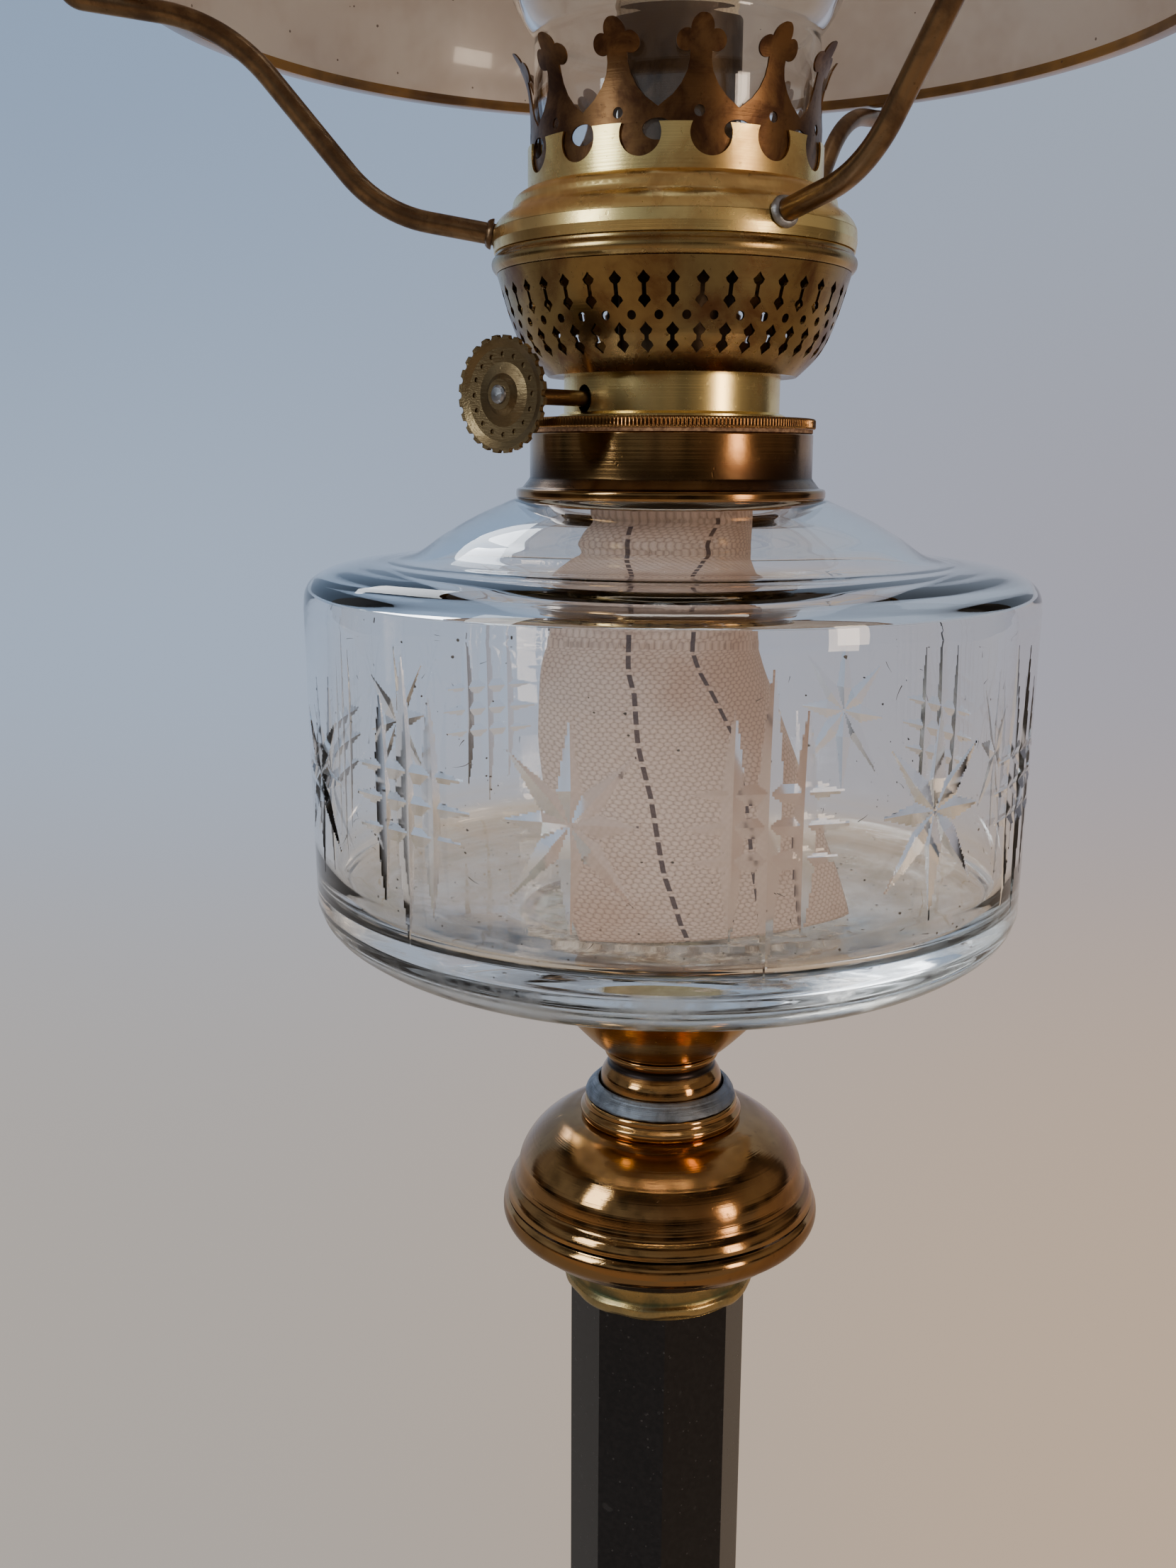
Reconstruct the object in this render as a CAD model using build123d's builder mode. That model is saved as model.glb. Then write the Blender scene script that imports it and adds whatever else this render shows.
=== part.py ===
"""Kerosene table lamp: stone column stand, cut-glass fount, round-wick burner, chimney and shade.

Millimetres, +Z up, origin at the centre of the plinth's underside. An azimuth is counted in
degrees from the front (-Y) towards +X.
"""
from math import atan, cos, degrees, pi, radians, sin, sqrt
import os

from build123d import *

os.makedirs("parts", exist_ok=True)

# General sizes
overrun = 4.0            # how far a cutter runs past what it cuts
brass_sheet = 0.6        # spun and pressed burner parts
thin_sheet = 0.3         # springy sheet of the crown
spun_wall = 0.8          # spun parts of the stand
body_gap = 0.3           # between pieces that move past each other
fit_gap = 0.1            # between pieces fixed in one another
running_gap = 0.05       # radial play of a turning shaft

# Stone plinth, three octagonal steps on felt
octagon_sides = 8
octagon_turn = 5.0       # azimuth by which a corner of the column stands off the front
felt_thickness = 1.5
felt_margin = 5.0
step_radii = (78.0, 64.0, 51.0)
step_heights = (20.0, 16.0, 14.0)
step_names = ("plinth_lower_step", "plinth_middle_step", "plinth_upper_step")
step_edge = 2.2
nut_recess_radius = 15.0
nut_recess_depth = 12.0

# Tie rod through the stand
rod_radius = 4.0
rod_foot_height = 3.5
washer_radius = 12.5
washer_thickness = 1.6
nut_radius = 7.5
nut_height = 6.5

# Octagonal column and its two brass fittings
column_radius = 18.3
column_length = 207.1
foot_radius = 33.0
foot_height = 16.5
cap_radius = 19.0
cap_height = 8.3
cap_plate = 1.2
lip_radius = 19.9
lip_height = 3.4
lip_shares = (0.33, 0.75)  # where the lip's roll starts and ends, of its height

# Knop of two spun shells
knop_radius = 32.5
knop_lower_height = 11.6
knop_upper_height = 17.0

# Turned neck, solder and cup
neck_radius = 16.5
neck_height = 14.3
cup_radius = 29.0
cup_height = 19.3
cup_wall = 1.0

# Glass fount
fount_radius = 69.0
fount_height = 90.8
fount_wall = 4.3
fount_floor = 15.0
boss_radius = 11.8
boss_length = 10.0
neck_glass_radius = 24.2
neck_glass_height = 5.0
neck_glass_bore = 20.6

# Screw collar
collar_radius = 26.5
collar_flange_radius = 29.1
collar_height = 11.9
collar_flange_height = 1.7
collar_cove_height = 3.6
collar_plaster_wall = 1.0
collar_ledge_gap = 0.6     # between the glass neck's top and the collar's inner ledge
thread_radius = 24.4

# Burner base, drum and seal
seal_thickness = 0.6
milled_radius = 26.9
milled_height = 2.0
milled_teeth = 120
milled_depth = 0.35
sleeve_wall = 1.4
sleeve_end_gap = 1.0
drum_radius = 20.1
drum_height = 7.5
drum_flange_radius = 21.2
drum_flange_height = 1.0

# Pierced basket
basket_foot_radius = 22.6
basket_radius = 32.6
basket_height = 18.0
pierced_count = 40
spade_width = 2.2
spade_length = 1.9
upper_slot_length = 5.9
upper_slot_level = 12.7
lower_slot_length = 4.9
lower_slot_level = 5.2
dot_radius = 0.75
dot_level = 8.7
rim_radius = 33.4
rim_height = 3.6
rim_width = 2.6

# Wick, wick tube and air tube
wick_outer_radius = 11.0
wick_thickness = 1.7
wick_tube_wall = 0.45
wick_tube_reach = 71.1     # above the collar's top
wick_rise = 5.0            # how far the wick stands out of its tube
wick_slip = 0.25           # play of the wick between its tubes
wick_foot = 1.7            # how far the stiff ring of the wick reaches below the collar's top
funnel_radius = 17.6
funnel_length = 10.0
slit_azimuth = -67.0
slit_width = 7.7
slit_margin = 1.0
wick_drop = 12.0           # how far the wick winds down and up
wick_lift = 8.0
slit_seam = 0.8
duct_width = 6.0
duct_height = 12.0
duct_level = 13.3          # foot of the air duct above the collar's top
duct_wall = 0.5
air_tube_foot = 10.1       # foot of the air tube above the collar's top
air_tube_drop = 0.4        # how far the air tube ends below the wick tube

# Spindle with knob and wick wheels
spindle_radius = 1.4
spindle_azimuth = -36.3
spindle_offset = 5.2
spindle_level = 5.8        # above the collar's top
spindle_reach = 22.5       # from the drum's wall to the knob
spindle_end = 0.4          # how far the shaft stands out of its inner bearing
wheel_root_share = 0.72
wheel_teeth = 10
wheel_width = 1.6
wheel_spacing = 5.2
cheek_spacing = 9.4
cheek_thickness = 0.8
cheek_width = 5.2
bracket_bore = 6.0
knob_radius = 9.7
knob_sheet = 0.9
knob_dish = 1.1
knob_scallops = 24
scallop_radius = 0.62
dimple_count = 16
dimple_radius = 0.45
dimple_depth = 0.2
dimple_circle_share = 0.68
hub_radius = 2.5
hub_length = 2.2
rivet_radius = 1.6
rivet_height = 0.7
spindle_hole_width = 4.0
spindle_hole_height = 5.0

# Gallery: dome, scalloped wall, crown of springs
gallery_radius = 33.1
gallery_dome_height = 10.4
gallery_wall = 0.4
gallery_wall_height = 7.4
scallop_count = 14
scallop_azimuth = 12.9
scallop_radius_wall = 3.6
scallop_drop = 1.7
prong_count = 12
prong_azimuth = 8.5
crown_drop = 1.0           # how far the crown's foot lies below the wall's foot
crown_height = 24.2
crown_flange = 4.6
crown_band = 10.1          # height of the band that joins the prongs
crown_flare = 3.2
crown_hole_half = (2.6, 1.7)   # half the width and height of each oval hole
crown_hole_drop = 2.8      # from the foot of the prongs down to the hole's middle
crown_eye_radius = 0.9
lobe_radii = (1.6, 1.6, 1.9)   # two side lobes and the head of each trefoil

# Shade arms
arm_radius = 1.9
arm_azimuths = (-85.0, 33.0, 152.0)
arm_names = ("shade_arm_left", "shade_arm_front", "shade_arm_back")
arm_root = 30.5            # distance of the arm's inner end from the axis
arm_level = 3.0            # height of the arm's inner end above the gallery's foot
arm_knee_share = 0.4626     # place of the first bend between the root and the shelf
arm_shelf_inside = 17.7     # how far the arm's shelf reaches in under the shade's rim
arm_shelf_outside = 9.7     # and how far it reaches out past the rim
arm_lifts = (3.9, 35.5, 39.3)
arm_hook = 8.5
arm_bends = (24.0, 30.0, 3.4)
solder_radius = 3.0
solder_length = 1.2

# Chimney and shade
chimney_radius = 25.6
chimney_wall = 1.6
chimney_height = 238.0
chimney_bulge_radius = 33.0
chimney_neck_radius = 22.0
chimney_top_radius = 20.0
shade_radius = 97.7
shade_wall = 3.0
shade_height = 92.0

# Sizes that follow from a fit
gallery_wall_bore = chimney_radius + body_gap + thin_sheet + fit_gap
gallery_wall_radius = gallery_wall_bore + gallery_wall
collar_skirt_bore = neck_glass_radius + collar_plaster_wall
collar_skirt_height = neck_glass_height + collar_ledge_gap
sleeve_length = collar_height - collar_skirt_height + seal_thickness - sleeve_end_gap
wick_tube_bore = wick_outer_radius + wick_slip
wick_tube_radius = wick_tube_bore + wick_tube_wall
wick_bore = wick_outer_radius - wick_thickness
air_tube_radius = wick_bore - wick_slip
air_tube_bore = air_tube_radius - wick_tube_wall
wheel_end = (wheel_spacing + wheel_width) / 2
wheel_radius = sqrt(wick_bore**2 - wheel_end**2) - spindle_offset - wick_slip
spindle_tail = cheek_spacing / 2 + cheek_thickness + spindle_end

# Levels, from the table up
step_foot_z = felt_thickness
plinth_top_z = felt_thickness + sum(step_heights)
column_top_z = plinth_top_z + column_length
knop_foot_z = column_top_z + cap_plate
knop_seam_z = knop_foot_z + knop_lower_height
knop_top_z = knop_seam_z + knop_upper_height
cup_foot_z = knop_top_z + neck_height
fount_foot_z = cup_foot_z + cup_height
collar_foot_z = fount_foot_z + fount_height
collar_top_z = collar_foot_z + collar_height
burner_z = collar_top_z + seal_thickness
drum_foot_z = burner_z + milled_height
basket_foot_z = drum_foot_z + drum_height
rim_foot_z = basket_foot_z + basket_height
gallery_foot_z = rim_foot_z + rim_height
wall_foot_z = gallery_foot_z + gallery_dome_height
wall_top_z = wall_foot_z + gallery_wall_height
wick_tube_top_z = collar_top_z + wick_tube_reach
spindle_z = collar_top_z + spindle_level


def scaled(shares, radius, height, foot):
    """Outline points from shares of a radius and of a height, counted up from a foot level."""
    return [(radius * across, foot + height * up) for across, up in shares]


def toward(azimuth):
    """Unit vector that points out from the axis at an azimuth."""
    return Vector(sin(radians(azimuth)), -cos(radians(azimuth)), 0)


def facing(azimuth, distance=0):
    """Upright plane that faces outwards at an azimuth; its y axis is up."""
    out = toward(azimuth)
    return Plane(origin=out * distance, x_dir=(-out.Y, out.X, 0), z_dir=out)


def slice_at(azimuth, side=0):
    """Upright plane through the axis, or beside it; its x axis points out, its y axis up."""
    out = toward(azimuth)
    left = Vector(out.Y, -out.X, 0)
    return Plane(origin=left * side, x_dir=out, z_dir=left)


def between(shares, inner, outer, height, foot):
    """Outline points from shares of the way from an inner to an outer radius."""
    return [(inner + (outer - inner) * across, foot + height * up) for across, up in shares]


def inset(points, wall):
    """The points of an outline, run upwards, moved inwards by a wall's thickness."""
    moved = []
    for index, point in enumerate(points):
        before = points[max(index - 1, 0)]
        after = points[min(index + 1, len(points) - 1)]
        run = Vector(after[0] - before[0], after[1] - before[1]).normalized()
        moved.append((point[0] - wall * run.Y, point[1] + wall * run.X))
    return moved


def turn(points, mode=Mode.ADD, plane=Plane.XZ, axis=Axis.Z):
    """Revolve a closed outline of (radius, height) points."""
    with BuildSketch(plane) as outline:
        with BuildLine():
            Polyline(*points, close=True)
        make_face()
    revolve(outline.sketch, axis=axis, mode=mode)


def spin(paths, wall):
    """Revolve a sheet of even thickness that follows paths: straight runs or smooth curves."""
    with BuildSketch(Plane.XZ) as sheet:
        for smooth, points in paths:
            with BuildLine() as middle:
                if smooth:
                    Spline(*points)
                else:
                    Polyline(*points)
            trace(middle.line, line_width=wall)
    revolve(sheet.sketch, axis=Axis.Z)


def tube(outer, inner, foot, top, mode=Mode.ADD):
    """Round tube about the lamp's axis."""
    turn([(inner, foot), (outer, foot), (outer, top), (inner, top)], mode)


def trim(radius, foot, top):
    """Cut the piece level at its foot and its top."""
    tube(radius + overrun, 0, foot - overrun, foot, Mode.SUBTRACT)
    tube(radius + overrun, 0, top, top + overrun, Mode.SUBTRACT)


def keep(name, solid):
    """Label a finished piece and write it."""
    solid.label = name
    export_step(solid, "parts/" + name + ".step")


# Felt and plinth
def octagon(radius):
    """Octagon in line with the column's."""
    return RegularPolygon(radius, octagon_sides, rotation=octagon_turn)


with BuildPart() as felt:
    with BuildSketch():
        octagon(step_radii[0] - felt_margin)
    extrude(amount=felt_thickness)
keep("base_felt", felt.part)

step_z = step_foot_z
for name, radius, height in zip(step_names, step_radii, step_heights):
    with BuildPart() as step:
        with BuildSketch(Plane.XY.offset(step_z)):
            octagon(radius)
        extrude(amount=height)
        fillet(step.faces().sort_by(Axis.Z)[-1].edges(), radius=step_edge)
        with BuildSketch(Plane.XY.offset(step_z)):
            Circle(rod_radius + fit_gap)
        extrude(amount=height, mode=Mode.SUBTRACT)
        if name == step_names[0]:
            with BuildSketch(Plane.XY.offset(step_z)):
                Circle(nut_recess_radius)
            extrude(amount=nut_recess_depth, mode=Mode.SUBTRACT)
    keep(name, step.part)
    step_z += height

# Column
with BuildPart() as column:
    with BuildSketch(Plane.XY.offset(plinth_top_z)):
        octagon(column_radius)
        Circle(rod_radius + fit_gap, mode=Mode.SUBTRACT)
    extrude(amount=column_length)
keep("column", column.part)

# Foot collar round the column
foot_shares = (
    (1.0, 0.0), (1.0, 0.14), (0.97, 0.2), (0.93, 0.24), (0.93, 0.32), (0.88, 0.42), (0.8, 0.5),
    (0.72, 0.6), (0.68, 0.72), (0.7, 0.78), (0.69, 0.86), (0.63, 0.92), (0.62, 1.0))
foot_inner_share = 0.45
with BuildPart() as foot:
    outer = scaled(foot_shares, foot_radius, foot_height, plinth_top_z)
    turn([(foot_radius * foot_inner_share, plinth_top_z)] + outer
         + [(foot_radius * foot_inner_share, plinth_top_z + foot_height)])
    with BuildSketch(Plane.XY.offset(plinth_top_z)):
        octagon(column_radius + fit_gap)
    extrude(amount=foot_height, mode=Mode.SUBTRACT)
keep("column_foot_collar", foot.part)

# Cap over the column's head, with its rolled lip
cap_foot_z = knop_foot_z - cap_height
with BuildPart() as cap:
    bore = column_radius + fit_gap
    turn([
        (rod_radius + fit_gap, knop_foot_z), (cap_radius, knop_foot_z),
        (cap_radius, cap_foot_z + lip_height), (lip_radius, cap_foot_z + lip_height * lip_shares[1]),
        (lip_radius, cap_foot_z + lip_height * lip_shares[0]), (cap_radius, cap_foot_z),
        (bore, cap_foot_z), (bore, column_top_z), (rod_radius + fit_gap, column_top_z)])
keep("column_cap", cap.part)

# Knop
lower_shares = (
    (0.14, 0.035), (0.55, 0.035), (0.7, 0.1), (0.83, 0.27), (0.92, 0.5))
lower_bead_shares = (
    (0.92, 0.5), (0.955, 0.62), (0.985, 0.72), (0.99, 0.86), (0.975, 0.99))
with BuildPart() as knop_lower:
    spin([
        (False, scaled(lower_shares[:2], knop_radius, knop_lower_height, knop_foot_z)),
        (True, scaled(lower_shares[1:], knop_radius, knop_lower_height, knop_foot_z)),
        (True, scaled(lower_bead_shares, knop_radius, knop_lower_height, knop_foot_z))], spun_wall)
    trim(knop_radius, knop_foot_z, knop_seam_z)
keep("knop_lower_shell", knop_lower.part)

upper_band_shares = ((0.975, 0.0), (0.95, 0.08), (0.945, 0.16), (0.905, 0.27))
upper_dome_shares = (
    (0.905, 0.27), (0.875, 0.47), (0.815, 0.66), (0.735, 0.81), (0.64, 0.925), (0.535, 0.974))
upper_top_shares = ((0.535, 0.974), (0.14, 0.974))
with BuildPart() as knop_upper:
    spin([
        (True, scaled(upper_band_shares, knop_radius, knop_upper_height, knop_seam_z)),
        (True, scaled(upper_dome_shares, knop_radius, knop_upper_height, knop_seam_z)),
        (False, scaled(upper_top_shares, knop_radius, knop_upper_height, knop_seam_z))], spun_wall)
    trim(knop_radius, knop_seam_z, knop_top_z)
keep("knop_upper_shell", knop_upper.part)

# Neck turned from the solid, and the solder run round its shoulder
neck_shares = (
    (0.98, 0.0), (1.0, 0.06), (1.0, 0.12), (0.95, 0.18), (0.945, 0.25), (0.93, 0.28),
    (0.775, 0.29), (0.755, 0.4), (0.757, 0.52), (0.735, 0.64), (0.685, 0.74), (0.645, 0.79),
    (0.643, 0.84), (0.67, 0.88), (0.7, 0.93), (0.71, 0.97), (0.7, 1.0))
neck_bore_share = 0.9
with BuildPart() as neck:
    turn([(0, knop_top_z)] + scaled(neck_shares, neck_radius, neck_height, knop_top_z)
         + [(0, cup_foot_z)])
    with BuildSketch(Plane.XY.offset(knop_top_z)):
        Circle(rod_radius + fit_gap)
    extrude(amount=neck_height * neck_bore_share, mode=Mode.SUBTRACT)
keep("neck", neck.part)

solder_shares = (
    (0.79, 0.3), (0.935, 0.3), (0.925, 0.35), (0.88, 0.43), (0.81, 0.51), (0.775, 0.51),
    (0.775, 0.42))
with BuildPart() as neck_solder:
    turn(scaled(solder_shares, neck_radius, neck_height, knop_top_z))
keep("neck_solder", neck_solder.part)

# Tie rod, washer and nut
with BuildPart() as rod:
    with BuildSketch(Plane.XY.offset(rod_foot_height)):
        Circle(rod_radius)
    extrude(amount=knop_top_z + neck_height * neck_bore_share - fit_gap - rod_foot_height)
keep("tie_rod", rod.part)

recess_top_z = step_foot_z + nut_recess_depth
with BuildPart() as washer:
    tube(washer_radius, rod_radius + fit_gap, recess_top_z - washer_thickness, recess_top_z)
keep("tie_rod_washer", washer.part)

with BuildPart() as nut:
    with BuildSketch(Plane.XY.offset(recess_top_z - washer_thickness - nut_height)):
        RegularPolygon(nut_radius, 6)
        Circle(rod_radius + fit_gap, mode=Mode.SUBTRACT)
    extrude(amount=nut_height)
keep("tie_rod_nut", nut.part)

# Cup under the fount, and the plaster that holds the glass boss in it
cup_foot_shares = ((0.172, 0.026), (0.375, 0.026), (0.4, 0.045))
cup_flare_shares = (
    (0.4, 0.045), (0.43, 0.07), (0.47, 0.12), (0.55, 0.24), (0.66, 0.42), (0.78, 0.64), (0.9, 0.86),
    (0.98, 0.985))
with BuildPart() as cup:
    spin([
        (False, scaled(cup_foot_shares, cup_radius, cup_height, cup_foot_z)),
        (True, scaled(cup_flare_shares, cup_radius, cup_height, cup_foot_z))], cup_wall)
    trim(cup_radius, cup_foot_z, fount_foot_z)
keep("fount_cup", cup.part)

boss_bore = boss_radius + fit_gap
boss_foot_z = fount_foot_z - boss_length
plaster_side = inset(scaled(cup_flare_shares, cup_radius, cup_height, cup_foot_z),
                     cup_wall / 2 + body_gap)[2:-1]
plaster_top_z = fount_foot_z - fit_gap
with BuildPart() as plaster:
    turn([(0, plaster_side[0][1])] + plaster_side
         + [(plaster_side[-1][0], plaster_top_z), (0, plaster_top_z)])
    with BuildSketch(Plane.XY.offset(boss_foot_z - fit_gap)):
        Circle(boss_bore)
    extrude(amount=boss_length + overrun, mode=Mode.SUBTRACT)
keep("cup_plaster", plaster.part)

# Glass fount: heavy foot, straight side, flat shoulder, dome and neck
foot_curve_shares = (
    (0.45, 0.0), (0.6, 0.024), (0.75, 0.048), (0.86, 0.075), (0.93, 0.106), (0.97, 0.137), (0.988, 0.172))
shoulder_shares = (
    (1.0, 0.785), (0.995, 0.815), (0.975, 0.838), (0.93, 0.857), (0.87, 0.868), (0.79, 0.875))
dome_shares = ((0.79, 0.875), (0.7, 0.885), (0.617, 0.926), (0.52, 0.967), (0.42, 1.0))
cavity_foot_shares = ((0.75, 0.0), (0.885, 0.012), (0.98, 0.04), (1.0, 0.1))
floor_z = fount_foot_z + fount_floor
neck_top_z = collar_foot_z + neck_glass_height
foot_curve = scaled(foot_curve_shares, fount_radius, fount_height, fount_foot_z)
shoulder = scaled(shoulder_shares, fount_radius, fount_height, fount_foot_z)
dome = scaled(dome_shares, fount_radius, fount_height, fount_foot_z)
cavity_shoulder = inset(shoulder, fount_wall)
cavity_dome = inset([shoulder[-1]] + dome[1:], fount_wall)
cavity_foot = scaled(cavity_foot_shares, fount_radius - fount_wall, fount_height, floor_z)
with BuildPart() as fount:
    with BuildSketch(Plane.XZ):
        with BuildLine():
            Polyline((0, floor_z), (0, boss_foot_z), (boss_radius, boss_foot_z),
                     (boss_radius, fount_foot_z), foot_curve[0])
            Spline(*foot_curve)
            Line(foot_curve[-1], shoulder[0])
            Spline(*shoulder)
            Spline(*dome)
            Polyline(dome[-1], (neck_glass_radius, collar_foot_z), (neck_glass_radius, neck_top_z),
                     (neck_glass_bore, neck_top_z), (neck_glass_bore, cavity_dome[-1][1]),
                     cavity_dome[-1])
            Spline(*cavity_dome[::-1])
            Line(cavity_dome[0], cavity_shoulder[-1])
            Spline(*cavity_shoulder[::-1])
            Line(cavity_shoulder[0], cavity_foot[-1])
            Spline(*cavity_foot[::-1])
            Line(cavity_foot[0], (0, floor_z))
        make_face()
    revolve(axis=Axis.Z)
keep("fount_glass", fount.part)

# Screw collar and the plaster between it and the glass neck
with BuildPart() as collar:
    flange_top_z = collar_foot_z + collar_flange_height
    cove_top_z = collar_foot_z + collar_cove_height
    skirt_top_z = collar_foot_z + collar_skirt_height
    cove_middle = (collar_radius + collar_flange_radius) / 2
    turn([
        (collar_skirt_bore, collar_foot_z), (collar_flange_radius, collar_foot_z),
        (collar_flange_radius, flange_top_z), (cove_middle, (flange_top_z + cove_top_z) / 2),
        (collar_radius, cove_top_z), (collar_radius, collar_top_z), (thread_radius, collar_top_z),
        (thread_radius, skirt_top_z), (collar_skirt_bore, skirt_top_z)])
keep("fount_collar", collar.part)

with BuildPart() as collar_plaster:
    tube(collar_skirt_bore, neck_glass_radius, collar_foot_z, collar_foot_z + neck_glass_height)
keep("collar_plaster", collar_plaster.part)

with BuildPart() as seal:
    tube(collar_radius - fit_gap, thread_radius, collar_top_z, burner_z)
keep("collar_seal", seal.part)

# Burner base: milled ring, plate and threaded sleeve
sleeve_radius = thread_radius - body_gap
with BuildPart() as burner_base:
    with BuildSketch(Plane.XY.offset(burner_z)):
        with BuildLine():
            knurl = []
            for tooth in range(2 * milled_teeth):
                reach = milled_radius - milled_depth * (tooth % 2)
                angle = pi * tooth / milled_teeth
                knurl.append((reach * cos(angle), reach * sin(angle)))
            Polyline(*knurl, close=True)
        make_face()
        Circle(wick_tube_radius, mode=Mode.SUBTRACT)
    extrude(amount=milled_height)
    tube(sleeve_radius, sleeve_radius - sleeve_wall, burner_z - sleeve_length, burner_z)
    tube(sleeve_radius, wick_tube_radius, burner_z, burner_z + milled_height / 2)
keep("burner_base", burner_base.part)

# Drum, with the hole that the spindle passes
spindle_side = slice_at(spindle_azimuth, spindle_offset)
spindle_out = toward(spindle_azimuth)
spindle_origin = spindle_side.origin + Vector(0, 0, spindle_z)
with BuildPart() as drum:
    drum_top_z = basket_foot_z
    turn([
        (drum_radius - brass_sheet, drum_foot_z), (drum_flange_radius, drum_foot_z),
        (drum_flange_radius, drum_foot_z + drum_flange_height / 2),
        (drum_radius, drum_foot_z + drum_flange_height), (drum_radius, drum_top_z),
        (wick_tube_radius, drum_top_z), (wick_tube_radius, drum_top_z - brass_sheet),
        (drum_radius - brass_sheet, drum_top_z - brass_sheet)])
    with BuildSketch(Plane(origin=spindle_origin, x_dir=spindle_side.z_dir * -1, z_dir=spindle_out)):
        Ellipse(spindle_hole_width / 2, spindle_hole_height / 2)
    extrude(amount=drum_radius + overrun, mode=Mode.SUBTRACT)
keep("burner_drum", drum.part)

# Basket: spun bowl, pierced by spade-ended slots and dots
bowl_shares = (
    (0.0, 0.0), (0.2, 0.1), (0.43, 0.24), (0.65, 0.48), (0.795, 0.71), (0.885, 0.88), (0.95, 1.0))


# share of the spade's half width, share of its length down from the tip
spade_shares = ((0.0, 0.0), (0.42, 0.3), (1.0, 0.62), (0.75, 0.92), (0.34, 1.1))


def pierced_slot(length, level):
    """Slot with a spade at each end, drawn on an upright plane."""
    upper = [(spade_width / 2 * across, length / 2 - spade_length * down)
             for across, down in spade_shares]
    right = upper + [(x, -y) for x, y in upper[::-1]]
    left = [(-x, y) for x, y in right[-2:0:-1]]
    with BuildLine() as edge:
        Polyline(*[(x, level + y) for x, y in right + left], close=True)
    return make_face(edge.line, mode=Mode.PRIVATE)


with BuildPart() as cutter:
    with BuildSketch(Plane.XZ.offset(drum_radius)):
        add(pierced_slot(upper_slot_length, basket_foot_z + upper_slot_level))
        add(pierced_slot(lower_slot_length, basket_foot_z + lower_slot_level))
    extrude(amount=basket_radius + overrun - drum_radius)
    with BuildSketch(facing(180 / pierced_count, drum_radius)):
        with Locations((0, basket_foot_z + dot_level)):
            Circle(dot_radius)
    extrude(amount=basket_radius + overrun - drum_radius)
with BuildPart() as basket:
    tube(basket_foot_radius, wick_tube_radius, basket_foot_z, basket_foot_z + brass_sheet)
    spin([(True, between(bowl_shares, basket_foot_radius, basket_radius, basket_height,
                         basket_foot_z))], brass_sheet)
    trim(basket_radius, basket_foot_z, rim_foot_z)
    with PolarLocations(0, pierced_count):
        add(cutter.part, mode=Mode.SUBTRACT)
keep("basket", basket.part)

rim_shares = (
    (0.0, 0.0), (0.72, 0.0), (0.95, 0.25), (1.0, 0.45), (0.95, 0.65), (0.75, 0.78), (0.72, 1.0),
    (0.0, 1.0))
with BuildPart() as rim:
    turn([(rim_radius - rim_width + rim_width * across, rim_foot_z + rim_height * up)
          for across, up in rim_shares])
keep("basket_rim", rim.part)

# Wick tube with its funnel, air tube and the duct between them
funnel_top_z = collar_top_z - body_gap
funnel_foot_z = funnel_top_z - funnel_length
duct_z = collar_top_z + duct_level


def port(width, height, reach):
    """Window through both tubes on the side of the wick's slit."""
    with BuildSketch(facing(slit_azimuth)) as window:
        with Locations((0, duct_z + duct_height / 2)):
            Rectangle(width, height)
    extrude(window.sketch, amount=reach, mode=Mode.SUBTRACT)


def bearing(radius):
    """Hole along the spindle's line."""
    hole_plane = Plane(origin=spindle_origin, x_dir=spindle_side.z_dir * -1, z_dir=spindle_out)
    with BuildSketch(hole_plane) as hole:
        Circle(radius)
    extrude(hole.sketch, amount=drum_radius, mode=Mode.SUBTRACT)


with BuildPart() as wick_tube:
    tube(wick_tube_radius, wick_tube_bore, funnel_top_z, wick_tube_top_z)
    turn([(wick_tube_bore, funnel_top_z), (wick_tube_radius, funnel_top_z),
          (funnel_radius, funnel_foot_z), (funnel_radius - wick_tube_wall, funnel_foot_z)])
    port(duct_width, duct_height, wick_tube_radius + overrun)
    bearing(spindle_radius + running_gap)
keep("wick_tube", wick_tube.part)

air_tube_z = collar_top_z + air_tube_foot
with BuildPart() as air_tube:
    tube(air_tube_radius, air_tube_bore, air_tube_z, wick_tube_top_z - air_tube_drop)
    port(duct_width, duct_height, air_tube_radius + overrun)
keep("air_tube", air_tube.part)

with BuildPart() as duct:
    with BuildSketch(facing(slit_azimuth)):
        with Locations((0, duct_z + duct_height / 2)):
            Rectangle(duct_width - fit_gap, duct_height - fit_gap)
            Rectangle(duct_width - 2 * duct_wall, duct_height - 2 * duct_wall, mode=Mode.SUBTRACT)
    extrude(amount=wick_tube_radius + fit_gap)
    with BuildSketch(Plane.XY.offset(duct_z - overrun)):
        Circle(air_tube_bore - fit_gap)
    extrude(amount=duct_height + 2 * overrun, mode=Mode.SUBTRACT)
keep("air_duct", duct.part)

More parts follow.
